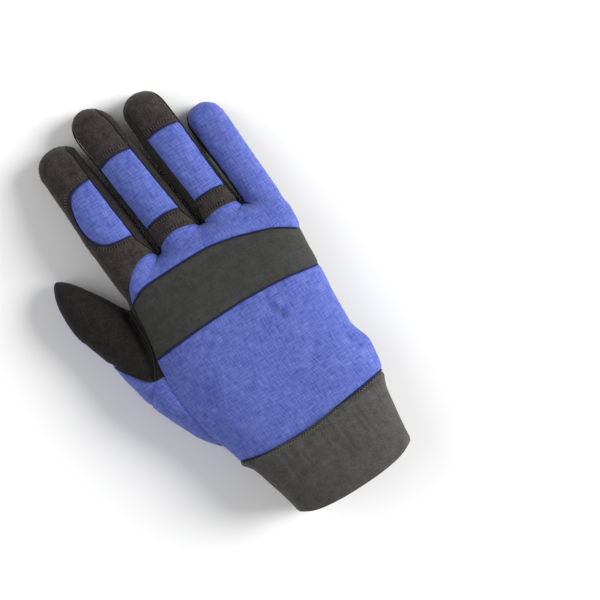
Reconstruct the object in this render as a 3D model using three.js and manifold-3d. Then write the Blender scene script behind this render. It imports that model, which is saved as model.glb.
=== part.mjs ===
// A mechanic's glove for the right hand, lying palm down and filled out as if worn.
// It is cut and sewn: the glove is first made as one hollow skin, and every panel is then cut out of that skin.
// Millimetres. +X runs to the little finger, +Y to the fingertips and +Z up, away from the palm.
import * as THREE from "three";
import { mergeVertices } from "three/addons/utils/BufferGeometryUtils.js";
import Module from "manifold-3d";

const wasm = await Module();
wasm.setup();

// Driving dimensions of the hand and the cuff.
const PALM_LENGTH = 122.5; // wrist seam to the web between the middle and ring fingers
const PALM_DEPTH = 36; // palm leather to the back of the hand, at the knuckles
const CUFF_LENGTH = 42;
const CUFF_END_WIDTH = 71;
const CUFF_END_DEPTH = 40;
const WALL = 1.6; // cloth and leather
const CUFF_WALL = 2.2; // knitted elastic
const SEAM_GAP = 0.3; // between the panels on the two sides of a seam
const FINGER_GAP = 1.6; // between neighbouring fingers where they leave the hand
const ARCH_HEIGHT = 4; // how far the middle of a finger stays off the surface
const SIDE_STRIP_DROP = 0.5; // how far a side strip reaches below a finger's middle, in shares of half its depth
const GUSSET_LAP = 0.5; // how far the gusset's upper part reaches below the side seam
const PAD_EDGE_DROP = 2; // how far the pads stay below the side seam

// Fingers from the thumb side. Width is taken at the root and tipWidth at the last joint, depth at the root,
// reach is how far the tip lies past the web line, nose is the length of the rounded end, and lean is in degrees.
const INDEX = { name: "index", width: 29.2, tipWidth: 26.4, depth: 25, reach: 75.5, nose: 14, lean: 3.4 };
const MIDDLE = { name: "middle", width: 25.4, tipWidth: 24.6, depth: 25, reach: 84, nose: 18, lean: 5.7 };
const RING = { name: "ring", width: 22.8, tipWidth: 24.2, depth: 24, reach: 76, nose: 14, lean: 4.2 };
const LITTLE = { name: "little", width: 19.2, tipWidth: 20.4, depth: 21.5, reach: 53, nose: 11, lean: 2.8 };
const FINGERS = [INDEX, MIDDLE, RING, LITTLE];
const FINGER_NOSE = { power: 2.05, depthPower: 2.2, drop: 0.35 }; // round in plan and in height, and how it drops
const FINGER_SQUARE = 2.35; // power of a finger's section, as square is for the hand
// How high the seams lie over the middle of each finger on its two sides, in shares of half its depth.
const SEAM_RISES = {
  index: { thumbSide: 0, farSide: 0.78 },
  middle: { thumbSide: 0.45, farSide: 0.72 },
  ring: { thumbSide: 0.76, farSide: 0.42 },
  little: { thumbSide: 0.36, farSide: 0 },
};

// The thumb, which leaves the hand near the wrist and points along the fingers.
const THUMB_REACH = 136.5; // wrist seam to the thumb's tip
const THUMB_SPREAD = 30; // how far its outer edge lies outside the hand
const THUMB_WIDTH = 28;
const THUMB_DEPTH = 24;
const THUMB_NOSE = 36.5;
const THUMB_NOSE_SHAPE = { power: 1.55, depthPower: 2.1, drop: 0.35 };
const THUMB_DRIFT_POWER = 0.75; // how early its tip turns outwards
const THUMB_SQUARE = 2.2;

// Padding on the palm, and the closing tab under the wrist.
const PAD_THICKNESS = 1.2;
const TAB_LENGTH = 56;
const TAB_WIDTH = 39;
const TAB_DROP = 2.6; // from the wrist seam to the edge of the tab
const TAB_THICKNESS = 2.2;
const TAB_RIM = 4; // width of the raised border
const TAB_RECESS = 0.7; // how far the tab's middle lies below its border
const LOOP_PATCH_THICKNESS = 1;
const LOOP_PATCH_MARGIN = 4; // how far the patch shows past the tab's round end
const TAB_ROUNDNESS = 0.46; // how long the tab's round end is, as a share of its width
const BINDING_WIDTH = 5;
const BINDING_THICKNESS = 2.6;

// Sizes that follow from those above.
const PAD_STAND = PAD_THICKNESS + SEAM_GAP; // height of the palm leather over the surface
const TAB_STAND = TAB_THICKNESS + LOOP_PATCH_THICKNESS + 2 * SEAM_GAP; // height of the cuff over the surface
const PALM_WIDTH = FINGERS.reduce((sum, finger) => sum + finger.width, 0) + FINGER_GAP * (FINGERS.length - 1);
const THUMB_SIDE = -PALM_WIDTH / 2;

// How finely the skin is made.
const FINGER_SIDES = 12;
const HAND_SIDES = 26;
const INNER_SHARE = 0.6; // of those sides, on the inner face
const NOSE_ROWS = 4;
const SEAM_STEP = 20; // between the places where a side seam is worked out
const CUFF_GATHERS = 17;
const GATHER_DEPTH = 0.5;
const LINE_PIECES = 8; // in a line between or across the fingers
const FAR = 400; // well outside the glove

// Turns rows of numbers into objects with named columns.
const table = (columns, ...rows) =>
  rows.map((row) => Object.fromEntries(columns.split(" ").map((column, i) => [column, row[i]])));

// Sections across the hand. along is a share of PALM_LENGTH from the wrist seam, left and right are shares of
// PALM_WIDTH from the middle of the hand, top is a share of PALM_DEPTH over the surface, and square is the
// power of the section's rounded outline.
const HAND_ROWS = table(
  "along left right top square",
  [-0.06, -0.45, 0.436, 1.0, 2.5],
  [0.0, -0.452, 0.44, 1.0, 2.5],
  [0.09, -0.47, 0.464, 1.03, 2.6],
  [0.17, -0.485, 0.466, 1.06, 2.7],
  [0.25, -0.5, 0.434, 1.08, 2.8],
  [0.42, -0.51, 0.449, 1.1, 2.8],
  [0.54, -0.508, 0.464, 1.1, 2.8],
  [0.66, -0.497, 0.474, 1.08, 2.8],
  [0.77, -0.487, 0.494, 1.02, 2.7],
  [0.84, -0.48, 0.5, 0.93, 2.6],
);
const HAND_SAG = 3; // how deep the palm would sink if the surface did not flatten it
// The web's front: where it starts, its middle as a share of PALM_WIDTH, and its shape as for a finger's nose.
const WEB = { start: 0.84, middle: 0.012, power: 1.7, depthPower: 2.8, drop: 1 };
// Where the seam along the hand's side starts to go over to the fingers' seams, as a share of PALM_LENGTH, and
// where it goes over to the thumb's, in millimetres from the thumb's side of the hand.
const TO_FINGERS = 0.6;
const TO_THUMB = { from: 12, to: -2 };
// Places where that seam's height is worked out, along the hand and across it in the same two ways.
const SIDE_SEAM_ALONG = [0.3, 0.6, 0.7, 0.78];
const SIDE_SEAM_ACROSS = [-8, 5];
const SEAM_JOG = 0.2; // half the width of the jog where one finger's seam height goes over to the next's

// Sections along a finger. along is a share of its reach from the web line, wide goes from the root's width (0)
// to the tip's (1), full is a share of that width, lift of ARCH_HEIGHT and thick of the finger's depth.
const FINGER_ROWS = table(
  "along wide full lift thick",
  [-0.55, 0, 0.66, 1.0, 1.12],
  [-0.3, 0, 0.9, 0.45, 1.18],
  [-0.1, 0, 0.99, 0.1, 1.16],
  [0.2, 0.35, 1, 0.75, 1.03],
  [0.4, 0.7, 1, 0.95, 0.98],
  [0.6, 0.95, 1, 0.55, 0.94],
);
const TIP = { wide: 1, full: 1, lift: -0.3, thick: 0.84 };

// Sections along the thumb. along is a share of THUMB_REACH, outer is how far its outer edge lies outside the
// hand as a share of THUMB_SPREAD, wide and thick are shares of its width and depth, and lift of PAD_STAND.
const THUMB_ROWS = table(
  "along outer wide thick lift",
  [0.06, -0.3, 0.5, 0.75, 3.4],
  [0.17, 0.165, 0.93, 1.15, 1.3],
  [0.28, 0.4, 1.02, 1.22, 1.0],
  [0.39, 0.617, 1.07, 1.18, 0.9],
  [0.5, 0.717, 1.04, 1.12, 0.6],
  [0.61, 0.817, 1.01, 1.05, 0.0],
  [0.733, 0.983, 1.043, 1.0, -0.5],
);
const THUMB_TIP = 0.85; // how far the middle of its tip lies outside the hand, measured as outer is

// Sections along the cuff. along is a share of CUFF_LENGTH from the wrist seam, and narrow goes from the hand's
// width (0) to the cuff's end (1).
const CUFF_SQUARE = 2.4;
const CUFF_ROWS = table(
  "along narrow",
  [0.0, 0.0],
  [0.05, 0.17],
  [0.12, 0.34],
  [0.25, 0.48],
  [0.55, 0.75],
  [0.8, 0.93],
  [1.1, 1.02],
);
const CUFF_END = table(
  "across along",
  [0.9, 0.6],
  [0.52, 0.86],
  [0.38, 0.95],
  [0.2, 0.99],
  [0.0, 1.0],
  [-0.2, 0.99],
  [-0.38, 0.95],
  [-0.52, 0.86],
  [-0.9, 0.6],
);
const CUFF_SHIFT = 2.2; // how far the cuff's end lies towards the little finger

// Seams across the back of the hand, from the thumb side. across is a share of PALM_WIDTH, along of PALM_LENGTH.
const WRIST_SEAM = table(
  "across along",
  [-0.62, 0.04],
  [-0.45, 0.02],
  [-0.27, -0.008],
  [-0.02, -0.016],
  [0.17, 0.0],
  [0.44, 0.024],
  [0.62, 0.04],
);
const BAND_LOWER_SEAM = table(
  "across along",
  [-0.52, 0.588],
  [-0.3, 0.598],
  [-0.02, 0.602],
  [0.126, 0.596],
  [0.274, 0.584],
  [0.452, 0.558],
  [0.62, 0.54],
);
const BAND_UPPER_SEAM = table(
  "across along",
  [-0.475, 0.841],
  [-0.436, 0.861],
  [-0.367, 0.88],
  [-0.268, 0.884],
  [-0.02, 0.88],
  [0.077, 0.869],
  [0.176, 0.849],
  [0.274, 0.824],
  [0.373, 0.792],
  [0.481, 0.735],
  [0.62, 0.68],
);
// The seam under the index finger's black back, from the thumb side to the web.
const INDEX_SEAM = table(
  "across along",
  [-0.475, 0.841],
  [-0.456, 0.89],
  [-0.416, 0.935],
  [-0.355, 0.975],
  [-0.298, 0.992],
  [-0.245, 0.993],
  [-0.204, 0.975],
);
// The side of the main back panel, from the knuckle band to the wrist.
const THUMB_SIDE_SEAM = table(
  "across along",
  [-0.52, 0.588],
  [-0.537, 0.514],
  [-0.539, 0.433],
  [-0.535, 0.351],
  [-0.515, 0.245],
  [-0.495, 0.163],
  [-0.475, 0.098],
  [-0.45, 0.02],
  [-0.44, -0.04],
);
// Where the thumb's leather ends on the back, from its outer edge to the hand. These follow the thumb:
// across is a share of its width from its outer edge and along a share of THUMB_REACH.
const THUMB_LEATHER_SEAM = table(
  "across along",
  [-0.3, 0.66],
  [0.0, 0.608],
  [0.07, 0.564],
  [0.17, 0.52],
  [0.265, 0.483],
  [0.39, 0.461],
);
// Edge of the blue gusset on the back, from the side panel up to the thumb's tip.
const GUSSET_BACK_SEAM = table(
  "across along",
  [-0.5, 0.385],
  [0.0, 0.39],
  [0.1, 0.405],
  [0.22, 0.432],
  [0.39, 0.461],
);
// Corners of the leather that comes up beside the hand, after the thumb's edge.
const WRAP_CORNERS = table(
  "across along",
  [-0.539, 0.512],
  [-0.52, 0.588],
  [-0.505, 0.66],
  [-0.49, 0.75],
  [-0.482, 0.8],
  [-0.475, 0.841],
);
const TAB_ROOT = 0.475; // the tab's root, as a share of CUFF_END_WIDTH from the cuff's middle
// Edge of the blue gusset on the palm side, from the wrist to the thumb's tip, in the same two shares.
const GUSSET_PALM_SEAM = table(
  "across along",
  [1.15, -0.02],
  [1.05, 0.04],
  [0.85, 0.13],
  [0.66, 0.23],
  [0.56, 0.34],
  [0.47, 0.46],
  [0.4, 0.55],
  [0.33, 0.65],
  [0.3, 0.8],
  [0.24, 0.92],
  [0.18, 1.0],
  [0.15, 1.06],
);
// Edge between the thumb and the leather that comes up beside the hand.
const THUMB_WEB_SEAM = table(
  "across along",
  [-0.507, 0.84],
  [-0.505, 0.8],
  [-0.51, 0.735],
  [-0.51, 0.661],
  [-0.537, 0.588],
  [-0.589, 0.514],
);

// Finger panels. Each edge is a share of the finger's reach from the web line, at its sides and in its middle.
const PANEL_EDGES = {
  middle: {
    strip: { side: -0.02, middle: 0.024 },
    blue: { side: 0.12, middle: 0.147 },
    tip: { side: 0.6, middle: 0.634 },
  },
  ring: {
    strip: { side: -0.03, middle: -0.012 },
    blue: { side: 0.11, middle: 0.129 },
    tip: { side: 0.655, middle: 0.68 },
  },
};
// The half-round blue inset on the index finger. across is a share of its half width, along of its reach.
const INSET_OUTLINE = table(
  "across along",
  [0.93, 0.155],
  [0.45, 0.168],
  [0.05, 0.178],
  [-0.3, 0.195],
  [-0.58, 0.235],
  [-0.76, 0.3],
  [-0.83, 0.39],
  [-0.79, 0.48],
  [-0.64, 0.565],
  [-0.4, 0.625],
  [-0.05, 0.655],
  [0.45, 0.665],
  [0.8, 0.665],
);

// Outline of the main palm pad, from its thumb side along the finger roots. across and along as on the back.
const PAD_OUTLINE = table(
  "across along",
  [-0.407, 0.772],
  [-0.43, 0.84],
  [-0.422, 0.9],
  [-0.382, 0.955],
  [-0.327, 0.972],
  [-0.284, 0.945],
  [-0.257, 0.893],
  [-0.222, 0.872],
  [-0.172, 0.885],
  [-0.137, 0.935],
  [-0.097, 0.958],
  [-0.047, 0.945],
  [-0.012, 0.9],
  [0.018, 0.87],
  [0.058, 0.868],
  [0.098, 0.9],
  [0.123, 0.935],
  [0.158, 0.935],
  [0.188, 0.895],
  [0.218, 0.85],
  [0.258, 0.838],
  [0.308, 0.86],
  [0.343, 0.915],
  [0.388, 0.938],
  [0.433, 0.925],
  [0.463, 0.88],
  [0.468, 0.75],
  [0.448, 0.6],
  [0.428, 0.45],
  [0.408, 0.33],
  [0.368, 0.25],
  [0.288, 0.18],
  [0.168, 0.128],
  [0.058, 0.112],
  [-0.042, 0.135],
  [-0.132, 0.19],
  [-0.202, 0.265],
  [-0.272, 0.39],
  [-0.322, 0.5],
  [-0.36, 0.56],
  [-0.352, 0.593],
  [-0.292, 0.6],
  [-0.122, 0.617],
  [0.058, 0.617],
  [0.128, 0.6],
  [0.148, 0.55],
  [0.108, 0.515],
  [0.028, 0.497],
  [-0.022, 0.47],
  [-0.04, 0.415],
  [-0.022, 0.365],
  [0.028, 0.34],
  [0.088, 0.345],
  [0.178, 0.385],
  [0.243, 0.46],
  [0.273, 0.545],
  [0.263, 0.62],
  [0.218, 0.67],
  [0.138, 0.69],
  [-0.072, 0.69],
  [-0.322, 0.69],
  [-0.382, 0.715],
);
const HEEL_PAD_OUTLINE = table(
  "across along",
  [0.348, 0.19],
  [0.278, 0.148],
  [0.178, 0.092],
  [0.133, 0.05],
  [0.113, 0.015],
  [0.313, 0.015],
  [0.353, 0.1],
);

const mix = (a, b, t) => a + (b - a) * t;
const smooth = (low, high, value) => THREE.MathUtils.smoothstep(value, low, high);
const point = (x, y) => new THREE.Vector2(x, y);
const backwards = (points) => [...points].reverse();

// Reads one column of a table at a place along another column, straight between rows.
function lookUp(rows, key, column, at) {
  if (at <= rows[0][key]) return rows[0][column];
  for (let i = 1; i < rows.length; i++)
    if (at <= rows[i][key]) {
      const share = (at - rows[i - 1][key]) / (rows[i][key] - rows[i - 1][key]);
      return mix(rows[i - 1][column], rows[i][column], share);
    }
  return rows[rows.length - 1][column];
}

// A geometry as a solid that can be joined and cut.
function solidOf(geometry) {
  const plain = new THREE.BufferGeometry().setAttribute("position", geometry.getAttribute("position"));
  if (geometry.index) plain.setIndex(geometry.index);
  const merged = mergeVertices(plain, 1e-4);
  const vertProperties = new Float32Array(merged.attributes.position.array);
  const triVerts = new Uint32Array(merged.index.array);
  return new wasm.Manifold(new wasm.Mesh({ numProp: 3, vertProperties, triVerts }));
}

// A closed solid through rings of equally many points. Each ring turns clockwise seen from its far end.
function loft(rings) {
  const count = rings[0].length;
  const positions = rings.flat().flatMap((corner) => corner.toArray());
  const index = [];
  for (let row = 0; row + 1 < rings.length; row++)
    for (let i = 0; i < count; i++) {
      const a = row * count + i;
      const b = row * count + ((i + 1) % count);
      index.push(a, b, b + count, a, b + count, a + count);
    }
  const last = (rings.length - 1) * count;
  for (let i = 1; i + 1 < count; i++) index.push(0, i + 1, i, last, last + i, last + i + 1);
  const geometry = new THREE.BufferGeometry();
  geometry.setAttribute("position", new THREE.Float32BufferAttribute(positions, 3));
  geometry.setIndex(index);
  return solidOf(geometry);
}

// One section across the glove: a rounded outline in the plane at y, flattened on its floor.
function ring(section, sides, gather = 0) {
  const power = 2 / section.square;
  return Array.from({ length: sides }, (_, i) => {
    const angle = (-2 * Math.PI * i) / sides;
    const out = i % 2 ? -gather : 0;
    const across = Math.sign(Math.cos(angle)) * Math.abs(Math.cos(angle)) ** power;
    const up = Math.sign(Math.sin(angle)) * Math.abs(Math.sin(angle)) ** power;
    const z = section.z + (section.halfDepth + out) * up;
    return new THREE.Vector3(section.x + (section.halfWidth + out) * across, section.y, Math.max(z, section.floor));
  });
}

// The rounded end of a limb: sections that shrink from the last full one.
function noseSections(full, length, shape) {
  return Array.from({ length: NOSE_ROWS }, (_, i) => {
    const t = Math.sin((Math.PI / 2) * ((i + 1) / NOSE_ROWS) * 0.95);
    const wide = (1 - t ** shape.power) ** (1 / shape.power);
    const deep = (1 - t ** shape.depthPower) ** (1 / shape.depthPower);
    const halfDepth = full.halfDepth * deep;
    const dropped = full.z - (full.halfDepth - halfDepth) * shape.drop;
    const x = full.x + shape.drift * t ** (shape.driftPower ?? 1);
    return { ...full, y: full.y + length * t, x, z: dropped, halfWidth: full.halfWidth * wide, halfDepth };
  });
}

// Moves sections inwards by the inset, or outwards where it is negative. Rounded ends move along y too.
function shrink(sections, inset, noseStart) {
  const last = sections[sections.length - 1].y;
  return sections.map((section, i) => {
    const share = i < noseStart ? 0 : (section.y - sections[noseStart].y) / (last - sections[noseStart].y);
    const sideways = inset * (1 - 0.6 * share);
    return {
      ...section,
      y: section.y - inset * share,
      halfWidth: Math.max(section.halfWidth - sideways, 0.25),
      halfDepth: Math.max(section.halfDepth - sideways, 0.25),
      floor: section.floor + inset,
    };
  });
}

// Where a finger lies. The fingers stand side by side, so each place follows from the widths before it.
FINGERS.forEach((finger, i) => {
  const before = FINGERS.slice(0, i).reduce((sum, other) => sum + other.width + FINGER_GAP, 0);
  finger.rootX = THUMB_SIDE + before + finger.width / 2;
});
const fingerX = (finger, y) =>
  finger.rootX - (y - PALM_LENGTH) * Math.tan(THREE.MathUtils.degToRad(finger.lean));

// A finger's section at y, before its rounded end.
function fingerSection(finger, y) {
  const along = (y - PALM_LENGTH) / finger.reach;
  const tipStart = 1 - finger.nose / finger.reach;
  const rows = [...FINGER_ROWS, { ...TIP, along: tipStart }];
  const at = (column) => lookUp(rows, "along", column, along);
  const halfDepth = (finger.depth * at("thick")) / 2;
  const floor = PAD_STAND * (1 - smooth(0.1, 0.6, along));
  return {
    y,
    x: fingerX(finger, y),
    z: floor + ARCH_HEIGHT * at("lift") + halfDepth,
    halfWidth: (mix(finger.width, finger.tipWidth, at("wide")) * at("full")) / 2,
    halfDepth,
    square: FINGER_SQUARE,
    floor,
  };
}

function fingerSections(finger, inset) {
  const end = PALM_LENGTH + finger.reach - finger.nose;
  const rows = FINGER_ROWS.map((row) => fingerSection(finger, PALM_LENGTH + row.along * finger.reach));
  const full = fingerSection(finger, end);
  const drift = fingerX(finger, end + finger.nose) - full.x;
  const nose = noseSections(full, finger.nose, { ...FINGER_NOSE, drift });
  return shrink([...rows, full, ...nose], inset, rows.length);
}

function thumbSections(inset) {
  const rows = THUMB_ROWS.map((row) => ({
    y: row.along * THUMB_REACH,
    x: THUMB_SIDE - row.outer * THUMB_SPREAD + (row.wide * THUMB_WIDTH) / 2,
    z: row.lift * PAD_STAND + (row.thick * THUMB_DEPTH) / 2,
    halfWidth: (row.wide * THUMB_WIDTH) / 2,
    halfDepth: (row.thick * THUMB_DEPTH) / 2,
    square: THUMB_SQUARE,
    floor: 0,
  }));
  const full = { ...rows[rows.length - 1], y: THUMB_REACH - THUMB_NOSE };
  rows[rows.length - 1] = full;
  const drift = THUMB_SIDE - THUMB_TIP * THUMB_SPREAD - full.x;
  const nose = noseSections(full, THUMB_NOSE, { ...THUMB_NOSE_SHAPE, drift, driftPower: THUMB_DRIFT_POWER });
  return shrink([...rows, ...nose], inset, rows.length - 1);
}

function handSections(inset) {
  const rows = HAND_ROWS.map((row) => {
    const top = row.top * PALM_DEPTH + PAD_STAND;
    const bottom = PAD_STAND - HAND_SAG;
    return {
      y: row.along * PALM_LENGTH,
      x: (PALM_WIDTH * (row.left + row.right)) / 2,
      z: (top + bottom) / 2,
      halfWidth: (PALM_WIDTH * (row.right - row.left)) / 2,
      halfDepth: (top - bottom) / 2,
      square: row.square,
      floor: PAD_STAND,
    };
  });
  const full = rows[rows.length - 1];
  const drift = PALM_WIDTH * WEB.middle - full.x;
  const nose = noseSections(full, PALM_LENGTH - full.y, { ...WEB, drift });
  return shrink([...rows, ...nose], inset, rows.length - 1);
}

// The hand's tube carries on through the cuff, and stands higher there to leave room for the tab.
function cuffForm(inset, gather) {
  const hand = handSections(0)[1];
  const sections = CUFF_ROWS.map((row) => {
    const floor = mix(PAD_STAND, TAB_STAND, Math.min(1, row.along / CUFF_ROWS[1].along)) + inset;
    const halfDepth = mix(hand.halfDepth, CUFF_END_DEPTH / 2 + HAND_SAG / 2, row.narrow) - inset;
    return {
      y: -row.along * CUFF_LENGTH,
      x: mix(hand.x, CUFF_SHIFT, row.narrow),
      z: floor - HAND_SAG + halfDepth,
      halfWidth: mix(hand.halfWidth, CUFF_END_WIDTH / 2, row.narrow) - inset,
      halfDepth,
      square: CUFF_SQUARE,
      floor,
    };
  });
  const first = { ...sections[0], y: CUFF_LENGTH / 4 };
  const sides = gather ? CUFF_GATHERS * 2 : HAND_SIDES;
  return loft([first, ...sections].reverse().map((section) => ring(section, sides, gather)));
}

// The glove's filled form, its surface moved inwards by the inset.
function form(inset, share = 1) {
  const tube = (sections, sides) => {
    const count = Math.round((sides * share) / 2) * 2;
    return loft(sections.map((section) => ring(section, count)));
  };
  const limbs = FINGERS.map((finger) => tube(fingerSections(finger, inset), FINGER_SIDES));
  limbs.push(tube(thumbSections(inset), FINGER_SIDES));
  return limbs.reduce((all, limb) => all.add(limb), tube(handSections(inset), HAND_SIDES));
}

// An upright prism over an outline in plan.
function prism(outline, low = -FAR, high = FAR) {
  const shape = new THREE.Shape(outline);
  const geometry = new THREE.ExtrudeGeometry(shape, { depth: high - low, bevelEnabled: false });
  geometry.translate(0, 0, low);
  return solidOf(geometry);
}

// The outline with each corner moved inwards by a distance, or outwards where it is negative.
function tighten(outline, distance) {
  const turn = THREE.ShapeUtils.area(outline) < 0 ? -1 : 1;
  return outline.map((corner, i) => {
    const before = outline[(i + outline.length - 1) % outline.length];
    const after = outline[(i + 1) % outline.length];
    const ahead = after.clone().sub(corner).normalize();
    const tangent = ahead.add(corner.clone().sub(before).normalize()).normalize();
    return point(corner.x - tangent.y * distance * turn, corner.y + tangent.x * distance * turn);
  });
}

// A smooth line through the rows of a seam table, each row turned to a place in plan.
function seam(rows, place, pieces = 2) {
  const curve = new THREE.SplineCurve(rows.map((row) => place(row.across, row.along)));
  return curve.getPoints((rows.length - 1) * pieces);
}
const onHand = (across, along) => point(across * PALM_WIDTH, along * PALM_LENGTH);
const onFinger = (finger) => (across, along) => {
  const y = PALM_LENGTH + along * finger.reach;
  return point(fingerX(finger, y) + across * fingerSection(finger, y).halfWidth, y);
};
const THUMB_FORM = thumbSections(0);
const onThumb = (across, along) => {
  const y = along * THUMB_REACH;
  const halfWidth = lookUp(THUMB_FORM, "y", "halfWidth", y);
  const outer = lookUp(THUMB_FORM, "y", "x", y) - halfWidth;
  return point(outer + across * 2 * Math.max(halfWidth, THUMB_WIDTH / 5), y);
};

// The line halfway between two neighbouring fingers.
const betweenFingers = (i) => (y) => {
  const [a, b] = [FINGERS[i], FINGERS[i + 1]].map((finger) => fingerSection(finger, y));
  return (a.x + a.halfWidth + b.x - b.halfWidth) / 2;
};
const WEB_LINES = [betweenFingers(0), betweenFingers(1), betweenFingers(2)];
const WEB_START = PALM_LENGTH * WEB.start; // the side strips lie beyond this line
const PAST_TIPS = PALM_LENGTH + MIDDLE.reach + 20;

// Heights of the seams. A finger's side strip lies between its upper and lower seam, which close up at the tip;
// everywhere else the back meets the palm in one seam along the side.
const HAND_SEAM_HEIGHT = PAD_STAND + PALM_DEPTH * 0.42;
const THUMB_SEAM_HEIGHT = THUMB_DEPTH * 0.46;
function fingerSeamHeight(finger, y, rise) {
  const section = fingerSection(finger, y);
  const share = (y - PALM_LENGTH) / finger.reach;
  const drop = 0.3 * smooth(1 - finger.nose / finger.reach, 1, share);
  return section.z + section.halfDepth * (rise * (1 - 0.9 * smooth(0.9, 1, share)) - drop);
}
function seamHeight(x, y, upper) {
  const finger = FINGERS.find((_, i) => i === FINGERS.length - 1 || x < WEB_LINES[i](y));
  const rises = SEAM_RISES[finger.name];
  const rise = x < fingerX(finger, y) ? rises.thumbSide : rises.farSide;
  if (y > WEB_START) return fingerSeamHeight(finger, y, upper || !rise ? rise : -SIDE_STRIP_DROP);
  const joined = smooth(PALM_LENGTH * TO_FINGERS, WEB_START, y);
  const fromHand = mix(HAND_SEAM_HEIGHT, fingerSeamHeight(finger, WEB_START, 0), joined);
  const onThumbSide = smooth(THUMB_SIDE + TO_THUMB.from, THUMB_SIDE + TO_THUMB.to, x) * (1 - joined);
  return mix(fromHand, THUMB_SEAM_HEIGHT, onThumbSide);
}

// Everything below the upper or the lower seams, raised by the lift.
function below(upper, lift) {
  const rows = [-FAR, -CUFF_LENGTH, 0, ...SIDE_SEAM_ALONG.map((along) => along * PALM_LENGTH)];
  rows.push(WEB_START, WEB_START + SEAM_JOG / 2);
  for (let y = WEB_START + SEAM_STEP; y < PAST_TIPS; y += SEAM_STEP / 2) rows.push(y);
  rows.push(FAR);
  const rings = rows.map((y) => {
    const middles = FINGERS.map((finger) => fingerX(finger, y));
    const places = [...middles, ...WEB_LINES.map((line) => line(y))].sort((a, b) => a - b);
    const jogs = places.flatMap((x) => [x - SEAM_JOG, x + SEAM_JOG]);
    const columns = [-FAR, ...SIDE_SEAM_ACROSS.map((x) => THUMB_SIDE + x), ...jogs, FAR];
    const top = columns.map((x) => new THREE.Vector3(x, y, seamHeight(x, y, upper) + lift));
    return [...top, new THREE.Vector3(FAR, y, -FAR), new THREE.Vector3(-FAR, y, -FAR)];
  });
  return loft(rings);
}

// Sewing lines in plan.
const wristLine = seam(WRIST_SEAM, onHand);
const bandLower = seam(BAND_LOWER_SEAM, onHand);
const bandUpper = seam(BAND_UPPER_SEAM, onHand);
const indexLine = seam(INDEX_SEAM, onHand);
const thumbSideLine = seam(THUMB_SIDE_SEAM, onHand);
const thumbWebLine = seam(THUMB_WEB_SEAM, onHand);
const thumbLeatherLine = seam(THUMB_LEATHER_SEAM, onThumb);
const gussetBackLine = [...seam(GUSSET_BACK_SEAM, onThumb), ...backwards(thumbLeatherLine.slice(0, -1))];
const gussetPalmLine = seam(GUSSET_PALM_SEAM, onThumb);
const webLine = (i, from = WEB_START * 0.98, to = PAST_TIPS) =>
  Array.from({ length: LINE_PIECES + 1 }, (_, k) => {
    const y = mix(from, to, k / LINE_PIECES);
    return point(WEB_LINES[i](y), y);
  });
// A line across a finger, higher or lower in its middle than at its sides.
function fingerLine(finger, edge) {
  const place = onFinger(finger);
  return Array.from({ length: LINE_PIECES + 1 }, (_, k) => {
    const across = mix(-1.25, 1.25, k / LINE_PIECES);
    return place(across, mix(edge.middle, edge.side, Math.min(1, across * across)));
  });
}

// Cuts a piece off a solid along a tool that is a function of how far it is moved outwards, and leaves a
// seam's gap. The piece goes into the list under its name, and what is left comes back.
const pieces = {};
function cutOff(name, solid, tool) {
  pieces[name] = solid.intersect(tool(-SEAM_GAP / 2));
  return solid.subtract(tool(SEAM_GAP / 2));
}
const overOutline = (outline) => (grow) => prism(tighten(outline, -grow));

// The skin of the whole glove, down to the wrist seam.
const wristOutline = [...wristLine, point(FAR, 0), point(FAR, FAR), point(-FAR, FAR), point(-FAR, 0)];
const hollow = form(WALL, INNER_SHARE);
let skin = form(0).subtract(hollow).intersect(prism(tighten(wristOutline, SEAM_GAP / 2)));

// The blue gusset goes round the thumb's outer side, from its leather on the back to that on the palm.
const besideThumb = THUMB_SIDE - THUMB_SPREAD * 3;
const thumbOutside = [point(besideThumb, THUMB_REACH * 1.2), point(besideThumb, 0)];
skin = cutOff("thumb_gusset", skin, (grow) => {
  const onBack = prism(tighten([...gussetBackLine, ...thumbOutside], -grow)).subtract(below(true, -GUSSET_LAP));
  const onPalm = prism(tighten([...gussetPalmLine, ...thumbOutside], -grow)).intersect(below(true, 0));
  return onBack.add(onPalm);
});

// The palm, with the undersides of the fingers and the leather that comes up beside the hand.
const wrapOutline = [...thumbWebLine, ...WRAP_CORNERS.map((row) => onHand(row.across, row.along))];
skin = cutOff("palm", skin, (grow) => below(false, grow).add(overOutline(wrapOutline)(grow)));

// Side strips between the fingers, cut apart at the fingertips.
const STRIP_NAMES = ["fourchette_index_middle", "fourchette_middle_ring", "fourchette_ring_little"];
const fingerMiddle = (finger) => [WEB_START, PAST_TIPS].map((y) => point(fingerX(finger, y), y));
STRIP_NAMES.forEach((name, i) => {
  const outline = [...fingerMiddle(FINGERS[i]), ...backwards(fingerMiddle(FINGERS[i + 1]))];
  skin = cutOff(name, skin, (grow) => below(true, grow).intersect(overOutline(outline)(grow)));
});

// The thumb's leather back and the blue wedge between it and the hand.
const pastThumb = [
  point(THUMB_SIDE - 0.12 * THUMB_SPREAD, THUMB_REACH * 0.92),
  point(THUMB_SIDE - 0.2 * THUMB_SPREAD, THUMB_REACH * 1.2),
  point(-FAR, THUMB_REACH * 1.2),
  point(-FAR, THUMB_REACH * 0.66),
];
const thumbOutline = [...thumbLeatherLine.slice(0, -1), ...backwards(thumbWebLine), ...pastThumb];
skin = cutOff("thumb_back", skin, overOutline(thumbOutline));
const wedge = [...thumbSideLine, point(-FAR, -FAR / 4), point(-FAR, THUMB_REACH * 0.6)];
skin = cutOff("side_panel", skin, overOutline(wedge));

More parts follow.
